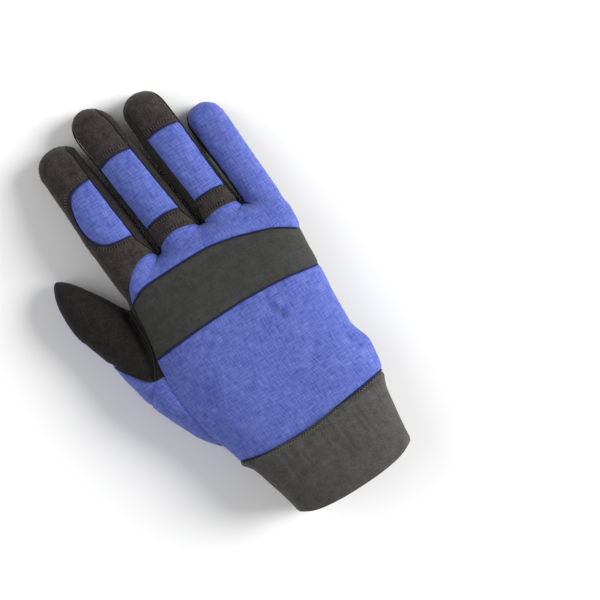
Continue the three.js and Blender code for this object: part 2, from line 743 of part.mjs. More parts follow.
// The index finger's back with its half-round inset.
const indexOutline = [...indexLine, ...webLine(0, PALM_LENGTH), point(-FAR, PAST_TIPS), point(-FAR, WEB_START)];
skin = cutOff("index_inset", skin, overOutline(seam(INSET_OUTLINE, onFinger(INDEX))));
skin = cutOff("index_back", skin, overOutline(indexOutline));

// The middle and ring fingers have a leather strip at the knuckle, a blue back and a leather tip.
[1, 2].forEach((i) => {
  const finger = FINGERS[i];
  const edges = PANEL_EDGES[finger.name];
  const zone = (low, high) => [...fingerLine(finger, low), ...backwards(fingerLine(finger, high))];
  const past = { side: 1.3, middle: 1.3 };
  const lane = [...webLine(i - 1), ...backwards(webLine(i))];
  const inLane = (outline) => (grow) => overOutline(outline)(grow).intersect(prism(lane));
  skin = cutOff(finger.name + "_strip", skin, inLane(zone(edges.strip, edges.blue)));
  skin = cutOff(finger.name + "_back", skin, inLane(zone(edges.blue, edges.tip)));
  skin = cutOff(finger.name + "_tip", skin, inLane(zone(edges.tip, past)));
});

// The back of the hand in three panels: above, in and below the knuckle band.
skin = cutOff("knuckle_band", skin, overOutline([...bandLower, ...backwards(bandUpper)]));
const lowerOutline = [...bandLower, point(PALM_WIDTH, -FAR), point(-PALM_WIDTH, -FAR)];
skin = cutOff("hand_back_lower", skin, overOutline(lowerOutline));
pieces.hand_back_upper = skin;

// The cuff: a gathered tube that meets the glove at the wrist seam.
const onCuff = (across, along) => point(CUFF_SHIFT + across * CUFF_END_WIDTH, -along * CUFF_LENGTH);
const cuffOutline = [...wristLine, ...seam(CUFF_END, onCuff)];
const cuffTube = cuffForm(0, GATHER_DEPTH).subtract(cuffForm(CUFF_WALL, 0));
pieces.cuff = cuffTube.intersect(prism(tighten(cuffOutline, SEAM_GAP / 2)));

// Padding that follows the palm.
const padLayer = form(-PAD_STAND).subtract(form(-SEAM_GAP)).intersect(below(false, -PAD_EDGE_DROP));
const padOn = (rows) => {
  const outline = new THREE.SplineCurve([...rows, rows[0]].map((row) => onHand(row.across, row.along)));
  return padLayer.intersect(prism(outline.getPoints(rows.length).slice(0, -1)));
};
pieces.palm_pad = padOn(PAD_OUTLINE);
pieces.heel_pad = padOn(HEEL_PAD_OUTLINE);

// The closing tab goes round the cuff's underside: a round end, a raised border and a patch beneath it.
const TAB_ROOT_X = CUFF_SHIFT + TAB_ROOT * CUFF_END_WIDTH;
const TAB_TOP_Y = -TAB_DROP;
const TAB_MIDDLE_Y = TAB_TOP_Y - TAB_WIDTH / 2;
function tabOutline(left, right, width) {
  const shape = new THREE.Shape();
  const [low, high] = [TAB_MIDDLE_Y - width / 2, TAB_MIDDLE_Y + width / 2];
  const roundFrom = left + width * TAB_ROUNDNESS;
  shape.moveTo(right, low);
  shape.lineTo(right, high);
  shape.lineTo(roundFrom, high);
  shape.bezierCurveTo(left, high, left, low, roundFrom, low);
  return shape.getPoints(10).slice(0, -1);
}
// What lies between two heights over the surface, where the cuff is flat, and follows the cuff beside it.
const everywhere = [point(FAR, FAR), point(-FAR, FAR), point(-FAR, -FAR), point(FAR, -FAR)];
const lowHalf = prism(everywhere, -FAR, CUFF_END_DEPTH / 2);
const underCuff = (low, high) =>
  cuffForm(low - TAB_STAND, 0).subtract(cuffForm(high - TAB_STAND, 0)).intersect(lowHalf);
const tabLeft = TAB_ROOT_X - TAB_LENGTH;
const border = tabOutline(tabLeft, TAB_ROOT_X, TAB_WIDTH);
const field = tabOutline(tabLeft + TAB_RIM, TAB_ROOT_X - TAB_RIM, TAB_WIDTH - 2 * TAB_RIM);
const tabLayer = underCuff(0, TAB_THICKNESS).intersect(prism(border));
pieces.wrist_tab = tabLayer.subtract(underCuff(-1, TAB_RECESS).intersect(prism(field)));
const patchLow = TAB_THICKNESS + SEAM_GAP;
const patch = tabOutline(tabLeft - LOOP_PATCH_MARGIN, tabLeft + TAB_LENGTH / 2, TAB_WIDTH - 1);
pieces.loop_patch = underCuff(patchLow, patchLow + LOOP_PATCH_THICKNESS).intersect(prism(patch));
const bindingLeft = TAB_ROOT_X + SEAM_GAP;
const binding = [
  point(bindingLeft, TAB_TOP_Y - TAB_WIDTH),
  point(bindingLeft + BINDING_WIDTH, TAB_TOP_Y - TAB_WIDTH),
  point(bindingLeft + BINDING_WIDTH, TAB_TOP_Y),
  point(bindingLeft, TAB_TOP_Y),
];
pieces.tab_binding = underCuff(0, BINDING_THICKNESS).intersect(prism(binding));

const MATERIALS = {
  suede: { color: 0x35302e, roughness: 0.95 },
  blue: { color: 0x5a69b4, roughness: 0.85 },
  rubber: { color: 0x3d403e, roughness: 0.75 },
  stretch: { color: 0x54504f, roughness: 0.9 },
  elastic: { color: 0x66646a, roughness: 0.9 },
  tab: { color: 0x7d7672, roughness: 0.7 },
  fuzzy: { color: 0x1c1b1b, roughness: 1 },
};
const FINISHES = {
  palm: "suede",
  thumb_back: "suede",
  thumb_gusset: "blue",
  side_panel: "blue",
  index_back: "suede",
  index_inset: "blue",
  middle_strip: "suede",
  middle_back: "blue",
  middle_tip: "suede",
  ring_strip: "suede",
  ring_back: "blue",
  ring_tip: "suede",
  hand_back_upper: "blue",
  knuckle_band: "rubber",
  hand_back_lower: "blue",
  fourchette_index_middle: "stretch",
  fourchette_middle_ring: "stretch",
  fourchette_ring_little: "stretch",
  cuff: "elastic",
  palm_pad: "suede",
  heel_pad: "suede",
  wrist_tab: "tab",
  loop_patch: "fuzzy",
  tab_binding: "elastic",
};

// The largest body of a cut piece; what a seam's gap left of its corners is dropped.
function mainBody(solid) {
  const bodies = solid.decompose();
  return bodies.sort((a, b) => b.volume() - a.volume())[0];
}

const glove = new THREE.Group();
for (const [name, finish] of Object.entries(FINISHES)) {
  const mesh = mainBody(pieces[name]).getMesh();
  const geometry = new THREE.BufferGeometry();
  geometry.setAttribute("position", new THREE.BufferAttribute(mesh.vertProperties, 3));
  geometry.setIndex(new THREE.BufferAttribute(mesh.triVerts, 1));
  const piece = new THREE.Mesh(geometry, new THREE.MeshStandardMaterial({ metalness: 0, ...MATERIALS[finish] }));
  piece.name = name;
  glove.add(piece);
}

// The origin is the middle of the glove's box, on the surface that it lies on.
const box = new THREE.Box3().setFromObject(glove);
glove.position.set(-(box.min.x + box.max.x) / 2, -(box.min.y + box.max.y) / 2, -box.min.z);

export default glove;
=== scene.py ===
"""Dresses a right-hand mechanic's glove: cloth, leather, moulded band, elastic cuff, tab, seams, stitches.

The glove's skin is worked out once, as tubes that flow into each other, and every sewn panel is cut out of
that skin along the same sewing lines as its CAD node. Lengths are millimetres, and turn to metres when a
mesh is made.
"""

import math

import bpy
import numpy as np
from bpy.props import FloatProperty, FloatVectorProperty, PointerProperty
from mathutils import Matrix, Vector


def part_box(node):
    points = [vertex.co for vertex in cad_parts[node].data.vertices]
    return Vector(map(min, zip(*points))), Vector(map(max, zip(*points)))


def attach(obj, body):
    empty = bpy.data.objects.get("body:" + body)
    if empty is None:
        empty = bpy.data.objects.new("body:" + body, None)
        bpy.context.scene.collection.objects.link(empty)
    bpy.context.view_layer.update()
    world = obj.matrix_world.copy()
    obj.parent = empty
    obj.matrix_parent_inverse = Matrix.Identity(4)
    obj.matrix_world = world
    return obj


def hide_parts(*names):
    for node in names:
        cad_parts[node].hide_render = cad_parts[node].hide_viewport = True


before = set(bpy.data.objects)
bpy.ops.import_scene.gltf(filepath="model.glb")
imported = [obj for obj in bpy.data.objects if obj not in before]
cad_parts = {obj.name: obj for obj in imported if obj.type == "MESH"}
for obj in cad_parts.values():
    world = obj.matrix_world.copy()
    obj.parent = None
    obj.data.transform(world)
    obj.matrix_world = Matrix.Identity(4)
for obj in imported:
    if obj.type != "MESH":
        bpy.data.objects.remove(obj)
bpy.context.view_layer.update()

bl_info = {
    "name": "Mechanic's glove",
    "version": (1, 0, 0),
    "blender": (4, 5, 0),
    "location": "View3D > Sidebar > Glove",
    "description": "Sews a work glove panel by panel round its packed CAD frame",
    "category": "Object",
}

MM = 0.001

# The photograph's frame: its width, and its middle from the glove's along the picture's own axes.
VIEW_WIDTH = 319.2
VIEW_RIGHT = 50.8
VIEW_UP = 3.4
VIEW_TURN = 33.0  # how far the glove is turned in the picture, in degrees
VIEW_HEIGHT = 20.0  # the picture's width is measured at this height, about the middle of the hand's depth
CAMERA_LENS = 200.0
CAMERA_SENSOR = 36.0

# Sizes of the hand and the cuff, as in the frame.
PALM_LENGTH = 122.5
PALM_WIDTH = 101.4
PALM_DEPTH = 36.0
THUMB_SIDE = -PALM_WIDTH / 2
PAD_STAND = 1.5
TAB_STAND = 3.8
FINGER_GAP = 1.6
ARCH_HEIGHT = 4.0
HAND_SAG = 3.0
SIDE_STRIP_DROP = 0.5
FINGER_SQUARE = 2.35
THUMB_REACH = 136.5
THUMB_SPREAD = 30.0
THUMB_WIDTH = 28.0
THUMB_DEPTH = 24.0
THUMB_NOSE = 36.5
THUMB_TIP = 0.85
THUMB_SQUARE = 2.2
CUFF_LENGTH = 42.0
CUFF_END_WIDTH = 71.0
CUFF_END_DEPTH = 40.0
CUFF_SHIFT = 2.2
CUFF_SQUARE = 2.4

# The rounded ends: their power across, their power in depth, and how far they drop, as a share of what the
# depth loses.
HAND_NOSE_SHAPE = (1.7, 2.8, 1.0)
FINGER_NOSE_SHAPE = (2.05, 2.2, 0.35)
THUMB_NOSE_SHAPE = (1.55, 2.1, 0.35)

# The soft creases, by the size of their fillets.
FLOOR_FILLET = 2.5
WEB_FILLET = 2.5
FINGER_FILLET = 4.0
THUMB_FILLET = 6.0

FAR = 400.0
REACH = 8.0  # distances to a sewing line are worked out up to this
BURIED = 1.5  # what lies deeper than this inside another limb is no part of the skin
ROOT_GAP = 0.25  # half the gap between two fingers at their roots
TIP_GAP = 1.8  # how much wider half the gap is at their tips
SLACK = 0.25  # a panel's skin reaches this far past its sewing line
LOWEST = 0.02  # no piece reaches down past this height
PUFF = 0.3  # how far a panel's middle is lifted
PANEL_LOWEST = 0.1
PALM_LOWEST = 0.5  # the palm's panel leaves room for its pads
CORD_STEP = 0.8  # between the points of a cord in a seam
TAB_STEP = 0.7  # between the points of the cuff and the tab

# The fingers: width and tip_width across, depth, reach past the web line, nose (the rounded end), lean in
# degrees, and how high the seams of the side strips lie on the thumb's side and on the far side.
FINGER_COLUMNS = "width tip_width depth reach nose lean thumb_side far_side"
FINGER_SIZES = {
    "index": (29.2, 26.4, 25.0, 75.5, 14.0, 3.4, 0.0, 0.78),
    "middle": (25.4, 24.6, 25.0, 84.0, 18.0, 5.7, 0.45, 0.72),
    "ring": (22.8, 24.2, 24.0, 76.0, 14.0, 4.2, 0.76, 0.42),
    "little": (19.2, 20.4, 21.5, 53.0, 11.0, 2.8, 0.36, 0.0),
}

# Sections along each limb, as the frame has them.
# along, left, right, top, square
HAND_ROWS = np.array([
    (-0.06, -0.45, 0.436, 1.0, 2.5), (0.0, -0.452, 0.44, 1.0, 2.5), (0.09, -0.47, 0.464, 1.03, 2.6),
    (0.17, -0.485, 0.466, 1.06, 2.7), (0.25, -0.5, 0.434, 1.08, 2.8), (0.42, -0.51, 0.449, 1.1, 2.8),
    (0.54, -0.508, 0.464, 1.1, 2.8), (0.66, -0.497, 0.474, 1.08, 2.8), (0.77, -0.487, 0.494, 1.02, 2.7),
    (0.84, -0.48, 0.5, 0.93, 2.6),
])
# along, wide, full, lift, thick
FINGER_ROWS = np.array([
    (-0.55, 0, 0.66, 1.0, 1.12), (-0.3, 0, 0.9, 0.45, 1.18), (-0.1, 0, 0.99, 0.1, 1.16),
    (0.2, 0.35, 1, 0.75, 1.03), (0.4, 0.7, 1, 0.95, 0.98), (0.6, 0.95, 1, 0.55, 0.94),
])
FINGER_TIP_ROW = (1, 1, -0.3, 0.84)
# along, outer, wide, thick, lift
THUMB_ROWS = np.array([
    (0.06, -0.3, 0.5, 0.75, 3.4), (0.17, 0.165, 0.93, 1.15, 1.3), (0.28, 0.4, 1.02, 1.22, 1.0),
    (0.39, 0.617, 1.07, 1.18, 0.9), (0.5, 0.717, 1.04, 1.12, 0.6), (0.61, 0.817, 1.01, 1.05, 0.0),
    (0.7326, 0.983, 1.043, 1.0, -0.5),
])
# along, narrow
CUFF_ROWS = np.array([
    (-0.25, 0), (0, 0), (0.05, 0.17), (0.12, 0.34), (0.25, 0.48), (0.55, 0.75), (0.8, 0.93), (1.1, 1.02),
])
CUFF_END = np.array([
    (0.9, 0.6), (0.52, 0.86), (0.38, 0.95), (0.2, 0.99), (0, 1), (-0.2, 0.99), (-0.38, 0.95),
    (-0.52, 0.86), (-0.9, 0.6),
])

# Sewing lines across the hand: across is a share of the palm's width and along of its length.
WRIST_SEAM = np.array([
    (-0.62, 0.04), (-0.45, 0.02), (-0.27, -0.008), (-0.02, -0.016), (0.17, 0.0), (0.44, 0.024),
    (0.62, 0.04),
])
BAND_LOWER_SEAM = np.array([
    (-0.52, 0.588), (-0.3, 0.598), (-0.02, 0.602), (0.126, 0.596), (0.274, 0.584), (0.452, 0.558),
    (0.62, 0.54),
])
BAND_UPPER_SEAM = np.array([
    (-0.475, 0.841), (-0.436, 0.861), (-0.367, 0.88), (-0.268, 0.884), (-0.02, 0.88), (0.077, 0.869),
    (0.176, 0.849), (0.274, 0.824), (0.373, 0.792), (0.481, 0.735), (0.62, 0.68),
])
INDEX_SEAM = np.array([
    (-0.475, 0.841), (-0.456, 0.89), (-0.416, 0.935), (-0.355, 0.975), (-0.298, 0.992), (-0.245, 0.993),
    (-0.204, 0.975),
])
THUMB_SIDE_SEAM = np.array([
    (-0.52, 0.588), (-0.537, 0.514), (-0.539, 0.433), (-0.535, 0.351), (-0.515, 0.245), (-0.495, 0.163),
    (-0.475, 0.098), (-0.45, 0.02), (-0.44, -0.04),
])
WRAP_CORNERS = np.array([
    (-0.539, 0.512), (-0.52, 0.588), (-0.505, 0.66), (-0.49, 0.75), (-0.482, 0.8), (-0.475, 0.841),
])
THUMB_WEB_SEAM = np.array([
    (-0.507, 0.84), (-0.505, 0.8), (-0.51, 0.735), (-0.51, 0.661), (-0.537, 0.588), (-0.589, 0.514),
])
# The same on the thumb: across is a share of its width from its outer edge, along of its reach.
THUMB_LEATHER_SEAM = np.array([
    (-0.3, 0.66), (0.0, 0.608), (0.07, 0.564), (0.17, 0.52), (0.265, 0.483), (0.39, 0.461),
])
GUSSET_BACK_SEAM = np.array([(-0.5, 0.385), (0.0, 0.39), (0.1, 0.405), (0.22, 0.432), (0.39, 0.461)])
GUSSET_PALM_SEAM = np.array([
    (1.15, -0.02), (1.05, 0.04), (0.85, 0.13), (0.66, 0.23), (0.56, 0.34), (0.47, 0.46), (0.4, 0.55),
    (0.33, 0.65), (0.3, 0.8), (0.24, 0.92), (0.18, 1.0), (0.15, 1.06),
])
# The half-round inset: across is a share of the finger's half width, along of its reach.
INSET_OUTLINE = np.array([
    (0.93, 0.155), (0.45, 0.168), (0.05, 0.178), (-0.3, 0.195), (-0.58, 0.235), (-0.76, 0.3),
    (-0.83, 0.39), (-0.79, 0.48), (-0.64, 0.565), (-0.4, 0.625), (-0.05, 0.655), (0.45, 0.665),
    (0.8, 0.665),
])
# Panel edges on a finger's back, as shares of its reach: at its sides, in its middle.
PANEL_EDGES = {
    "middle": {"strip": (-0.02, 0.024), "blue": (0.12, 0.147), "tip": (0.6, 0.634)},
    "ring": {"strip": (-0.03, -0.012), "blue": (0.11, 0.129), "tip": (0.655, 0.68)},
}
PAD_OUTLINE = np.array([
    (-0.407, 0.772), (-0.43, 0.84), (-0.422, 0.9), (-0.382, 0.955), (-0.327, 0.972), (-0.284, 0.945),
    (-0.257, 0.893), (-0.222, 0.872), (-0.172, 0.885), (-0.137, 0.935), (-0.097, 0.958), (-0.047, 0.945),
    (-0.012, 0.9), (0.018, 0.87), (0.058, 0.868), (0.098, 0.9), (0.123, 0.935), (0.158, 0.935),
    (0.188, 0.895), (0.218, 0.85), (0.258, 0.838), (0.308, 0.86), (0.343, 0.915), (0.388, 0.938),
    (0.433, 0.925), (0.463, 0.88), (0.468, 0.75), (0.448, 0.6), (0.428, 0.45), (0.408, 0.33),
    (0.368, 0.25), (0.288, 0.18), (0.168, 0.128), (0.058, 0.112), (-0.042, 0.135), (-0.132, 0.19),
    (-0.202, 0.265), (-0.272, 0.39), (-0.322, 0.5), (-0.36, 0.56), (-0.352, 0.593), (-0.292, 0.6),
    (-0.122, 0.617), (0.058, 0.617), (0.128, 0.6), (0.148, 0.55), (0.108, 0.515), (0.028, 0.497),
    (-0.022, 0.47), (-0.04, 0.415), (-0.022, 0.365), (0.028, 0.34), (0.088, 0.345), (0.178, 0.385),
    (0.243, 0.46), (0.273, 0.545), (0.263, 0.62), (0.218, 0.67), (0.138, 0.69), (-0.072, 0.69),
    (-0.322, 0.69), (-0.382, 0.715),
])
HEEL_PAD_OUTLINE = np.array([
    (0.348, 0.19), (0.278, 0.148), (0.178, 0.092), (0.133, 0.05), (0.113, 0.015), (0.313, 0.015),
    (0.353, 0.1),
])

# A row of stitches across the thumb's leather, in plan.
THUMB_STITCHES = np.array([(-71.1, 119.5), (-73.0, 106.6), (-72.2, 97.0), (-64.5, 92.0), (-60.9, 91.6)])

# The closing tab under the cuff.
TAB_LENGTH = 56.0
TAB_WIDTH = 39.0
TAB_DROP = 2.6
TAB_RIM = 4.0
TAB_ROUNDNESS = 0.46
LOOP_PATCH_MARGIN = 4.0
BINDING_WIDTH = 5.0
TAB_ROOT_X = CUFF_SHIFT + 0.475 * CUFF_END_WIDTH
BINDING_X = TAB_ROOT_X + 0.3

# Where the frame's origin lies from this script's, found from the tab that both have.
ORIGIN_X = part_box("tab_binding")[1].x / MM - (BINDING_X + BINDING_WIDTH)
ORIGIN_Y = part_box("wrist_tab")[1].y / MM + TAB_DROP


def mix(a, b, t):
    """Goes straight from a to b as t goes from 0 to 1."""
    return a + (b - a) * t


def ramp(low, high, value):
    """Smooth step: 0 below low, 1 above high, three t squared less two t cubed between."""
    t = np.clip((value - low) / (high - low), 0, 1)
    return t * t * (3 - 2 * t)


def lookup(rows, column, at):
    """Reads one column of a table at places along its first column."""
    return np.interp(at, rows[:, 0], rows[:, column])


def soft_min(a, b, k):
    """The lesser of a and b, with a fillet of size k where they are near each other."""
    h = np.clip(0.5 + 0.5 * (b - a) / k, 0, 1)
    return mix(b, a, h) - k * h * (1 - h)


def lumps(points, size, seed):
    """Smooth noise between -1 and 1: random values on a lattice of the given size, blended in between."""
    values = np.random.default_rng(seed).uniform(-1, 1, 4096)
    at = points / size
    low = np.floor(at).astype(np.int64)
    share = ramp(0, 1, at - low)
    total = 0.0
    for corner in range(8):
        offset = np.array([corner & 1, corner >> 1 & 1, corner >> 2 & 1])
        key = (low + offset) @ np.array([73, 941, 1709])
        weight = np.where(offset, share, 1 - share).prod(1)
        total = total + weight * values[key % 4096]
    return total


def unit(vectors):
    """Vectors made one long."""
    return vectors / np.maximum(np.linalg.norm(vectors, axis=1), 1e-9)[:, None]


class Limb:
    """A tube along Y whose section at each place is a rounded rectangle: a superellipse with its own
    middle, half width, half depth and power, flattened on a floor."""

    def __init__(self, rows):
        self.rows = rows

    def at(self, y):
        """The middle's x and z, half width, half depth, power and floor at y."""
        return [np.interp(y, self.rows[:, 0], self.rows[:, i]) for i in range(1, 7)]

    def ring(self, y, turn):
        """Points of the outline: x = middle + half width * cos / r and z = middle + half depth * sin / r,
        where r is the power mean of cos and sin of the turn."""
        x, z, a, b, n, floor = self.at(y)
        c, s = np.cos(turn), np.sin(turn)
        r = (np.abs(c) ** n + np.abs(s) ** n) ** (1 / n)
        return np.stack(np.broadcast_arrays(x + a * c / r, y, z + b * s / r), -1)

    def distance(self, p, floored=True):
        """How far a point lies outside the tube, measured along the ray from its middle; negative inside.
        Unfloored, the tube keeps the round underside that it had before it was flattened."""
        x, z, a, b, n, floor = self.at(p[:, 1])
        dx, dz = p[:, 0] - x, p[:, 2] - z
        r = (np.abs(dx / a) ** n + np.abs(dz / b) ** n) ** (1 / n)
        ray = np.hypot(dx, dz)
        d = ray * (1 - 1 / np.maximum(r, 1e-4))
        past = np.maximum(p[:, 1] - self.rows[-1, 0], self.rows[0, 0] - p[:, 1])
        d = np.where(past > 0, np.hypot(np.maximum(d, 0), past), d)
        return -soft_min(-d, p[:, 2] - floor, FLOOR_FILLET) if floored else d


def soften(rows, spread=10.0):
    """Takes the corners out of a table of sections: each column averaged along y under a raised cosine."""
    y = np.arange(rows[0, 0], rows[-1, 0] + 0.25, 0.5)
    half = int(spread)
    weights = np.hanning(2 * half + 1)
    weights /= weights.sum()
    columns = [y]
    for column in rows.T[1:]:
        fine = np.interp(y, rows[:, 0], column)
        before = 2 * fine[0] - fine[half:0:-1]
        after = 2 * fine[-1] - fine[-2:-half - 2:-1]
        columns.append(np.convolve(np.concatenate([before, fine, after]), weights, "valid"))
    return np.stack(columns, 1)


def with_nose(rows, length, shape, drift, drift_power=1.0):
    """Adds a rounded end: half width and half depth shrink as (1 - t^p)^(1/p) while t goes from 0 to 1."""
    y, x, z, a, b, n, floor = rows[-1]
    power, depth_power, drop = shape
    t = np.sin(np.linspace(0, math.pi / 2, 90))[1:]
    wide = np.maximum(1 - t**power, 1e-9) ** (1 / power)
    deep = np.maximum(1 - t**depth_power, 1e-9) ** (1 / depth_power)
    end = [
        y + length * t, x + drift * t**drift_power, z - (b - b * deep) * drop, a * wide, b * deep,
        n + 0 * t, floor + 0 * t,
    ]
    return Limb(np.concatenate([rows, np.stack(end, 1)]))


class Finger:
    """One finger's sizes and its tube."""

    def __init__(self, name, root_x):
        self.name = name
        self.root_x = root_x
        for column, value in zip(FINGER_COLUMNS.split(), FINGER_SIZES[name]):
            setattr(self, column, value)
        tip_start = 1 - self.nose / self.reach
        self.table = np.vstack([FINGER_ROWS, (tip_start, *FINGER_TIP_ROW)])
        y = PALM_LENGTH + self.table[:, 0] * self.reach
        y = np.unique(np.concatenate([y, np.linspace(PALM_LENGTH, y[-1], 20)]))
        z, half, depth, floor = self.section(y)
        rows = soften(np.stack([y, self.x(y), z, half, depth, FINGER_SQUARE + 0 * y, floor], 1))
        drift = self.x(y[-1] + self.nose) - self.x(y[-1])
        self.limb = with_nose(rows, self.nose, FINGER_NOSE_SHAPE, drift)

    def x(self, y):
        """Its middle leans over by a fixed angle."""
        return self.root_x - (y - PALM_LENGTH) * math.tan(math.radians(self.lean))

    def section(self, y):
        """Middle height, half width, half depth and floor before the rounded end."""
        along = (y - PALM_LENGTH) / self.reach
        wide, full, lift, thick = [lookup(self.table, i, along) for i in range(1, 5)]
        depth = self.depth * thick / 2
        half = mix(self.width, self.tip_width, wide) * full / 2
        floor = PAD_STAND * (1 - ramp(0.1, 0.6, along))
        return floor + ARCH_HEIGHT * lift + depth, half, depth, floor

    def seam_height(self, y, rise):
        """Height of a side strip's seam; both seams close up at the tip and at the web."""
        z, _, depth, _ = self.section(y)
        rise = rise * ramp(WEB_START + 5, WEB_START + 30, y)
        share = (y - PALM_LENGTH) / self.reach
        drop = 0.3 * ramp(1 - self.nose / self.reach, 1, share)
        return z + depth * (rise * (1 - 0.9 * ramp(0.9, 1, share)) - drop)


def make_fingers():
    """Stands the fingers side by side from the thumb's side of the hand."""
    fingers, edge = [], THUMB_SIDE
    for name, sizes in FINGER_SIZES.items():
        fingers.append(Finger(name, edge + sizes[0] / 2))
        edge += sizes[0] + FINGER_GAP
    return fingers


def make_hand():
    """The hand's tube from the wrist seam to the web between the fingers."""
    along, left, right, top, square = HAND_ROWS.T
    high, low = top * PALM_DEPTH + PAD_STAND, PAD_STAND - HAND_SAG
    columns = [
        along * PALM_LENGTH, PALM_WIDTH * (left + right) / 2, (high + low) / 2,
        PALM_WIDTH * (right - left) / 2, (high - low) / 2, square, PAD_STAND + 0 * along,
    ]
    rows = soften(np.stack(columns, 1))
    return with_nose(rows, PALM_LENGTH - rows[-1, 0], HAND_NOSE_SHAPE, PALM_WIDTH * 0.012 - rows[-1, 1])


def make_thumb():
    """The thumb's tube, which leaves the hand near the wrist."""
    along, outer, wide, thick, lift = THUMB_ROWS.T
    half = wide * THUMB_WIDTH / 2
    depth = thick * THUMB_DEPTH / 2
    columns = [
        along * THUMB_REACH, THUMB_SIDE - outer * THUMB_SPREAD + half, lift * PAD_STAND + depth,
        half, depth, THUMB_SQUARE + 0 * along, 0 * along,
    ]
    rows = soften(np.stack(columns, 1), 12.0)
    drift = THUMB_SIDE - THUMB_TIP * THUMB_SPREAD - rows[-1, 1]
    return with_nose(rows, THUMB_NOSE, THUMB_NOSE_SHAPE, drift, 0.75)


def make_cuff(wrist_stand):
    """The hand's tube carried on through the cuff, which stands this high at the wrist and leaves room for
    the tab further on."""
    along, narrow = CUFF_ROWS.T
    x, z, a, b, n, floor = HAND.at(0.0)
    stand = mix(wrist_stand, TAB_STAND, np.clip(along / 0.05, 0, 1))
    depth = mix(b, CUFF_END_DEPTH / 2 + HAND_SAG / 2, narrow)
    columns = [
        -along * CUFF_LENGTH, mix(x, CUFF_SHIFT, narrow), stand - HAND_SAG + depth,
        mix(a, CUFF_END_WIDTH / 2, narrow), depth, CUFF_SQUARE + 0 * along, stand,
    ]
    return Limb(soften(np.stack(columns, 1)[::-1], 4.0))


FINGERS = make_fingers()
HAND = make_hand()
THUMB = make_thumb()
LIMBS = [HAND, THUMB] + [finger.limb for finger in FINGERS]
CUFF = make_cuff(PAD_STAND)
TAB_BED = make_cuff(TAB_STAND)
WEB_START = PALM_LENGTH * 0.84
PAST_TIPS = PALM_LENGTH + 104.0


def limb_distances(p, floored=True):
    """Distance to each limb in turn: hand, thumb, then the fingers."""
    return np.stack([limb.distance(p, floored) for limb in LIMBS])


def with_hand(fingers, hand, thumb):
    """Joins the fingers' distance to the hand's and the thumb's with soft creases."""
    return soft_min(soft_min(fingers, hand, FINGER_FILLET), thumb, THUMB_FILLET)


def skin_distance(p):
    """Distance to the whole skin, with the fingers apart from each other."""
    d = limb_distances(p)
    return with_hand(d[2:].min(0), d[0], d[1])


def webbed_distance(p):
    """The same, with a small web between each two fingers."""
    d = limb_distances(p)
    fingers = soft_min(soft_min(d[2], d[3], WEB_FILLET), soft_min(d[4], d[5], WEB_FILLET), WEB_FILLET)
    return with_hand(fingers, d[0], d[1])


def own_distance(which):
    """The distance that one limb's skin settles on. The hand's rounds off the crease between two fingers. A
    finger's leaves its neighbours out, so that its side goes on behind the narrow gap between them."""
    if which == 0:
        return webbed_distance
    if which == 1:
        return skin_distance
    return lambda p: with_hand(LIMBS[which].distance(p), HAND.distance(p), THUMB.distance(p))


def slope(distance, p):
    """The gradient of a distance by small steps each way."""
    step = 0.05
    return np.stack([(distance(p + e) - distance(p - e)) / (2 * step) for e in np.eye(3) * step], 1)


def settle(p, distance=skin_distance, rounds=10):
    """Moves points along the gradient onto the surface where the distance is nothing, and gives the outward
    normals too."""
    for _ in range(rounds):
        g = slope(distance, p)
        move = distance(p) / np.maximum((g * g).sum(1), 1e-3)
        p = p - np.clip(move, -3, 3)[:, None] * g
    return p, unit(slope(distance, p))


def curve(corners, pieces=8):
    """A smooth line through corners: between two of them, a cubic whose ends follow their neighbours."""
    p = np.vstack([corners[:1], corners, corners[-1:]])
    t = np.linspace(0, 1, pieces, endpoint=False)[:, None, None]
    a, b, c, d = p[:-3], p[1:-2], p[2:-1], p[3:]
    line = 0.5 * (2 * b + (c - a) * t + (2 * a - 5 * b + 4 * c - d) * t**2 + (3 * b - a - 3 * c + d) * t**3)
    return np.vstack([line.transpose(1, 0, 2).reshape(-1, 2), corners[-1:]])


def on_hand(rows):
    """Places a table's rows on the hand, in plan."""
    return rows * (PALM_WIDTH, PALM_LENGTH)


def on_finger(finger, rows):
    """Places rows of across and along on a finger, in plan."""
    y = PALM_LENGTH + rows[:, 1] * finger.reach
    return np.stack([finger.x(y) + rows[:, 0] * finger.section(y)[1], y], 1)


def on_thumb(rows):
    """Places rows of across and along on the thumb, in plan."""
    y = rows[:, 1] * THUMB_REACH
    x, _, half, *_ = THUMB.at(y)
    return np.stack([x - half + rows[:, 0] * 2 * np.maximum(half, THUMB_WIDTH / 5), y], 1)


def between(i, y):
    """The x of the line halfway between two neighbouring fingers."""
    a, b = FINGERS[i], FINGERS[i + 1]
    return (a.x(y) + a.section(y)[1] + b.x(y) - b.section(y)[1]) / 2


def web_line(i, low=WEB_START * 0.98):
    """That line as points in plan."""
    y = np.linspace(low, PAST_TIPS, 24)
    return np.stack([between(i, y), y], 1)


def finger_line(finger, edge, left=-1.25, right=1.25, count=25, shift=0.0):
    """A line across a finger's back, higher in its middle than at its sides by the square of the way out,
    and moved along the finger by the shift."""
    across = np.linspace(left, right, count)
    along = mix(edge[1], edge[0], np.minimum(1, across**2)) + shift / finger.reach
    return on_finger(finger, np.stack([across, along], 1))


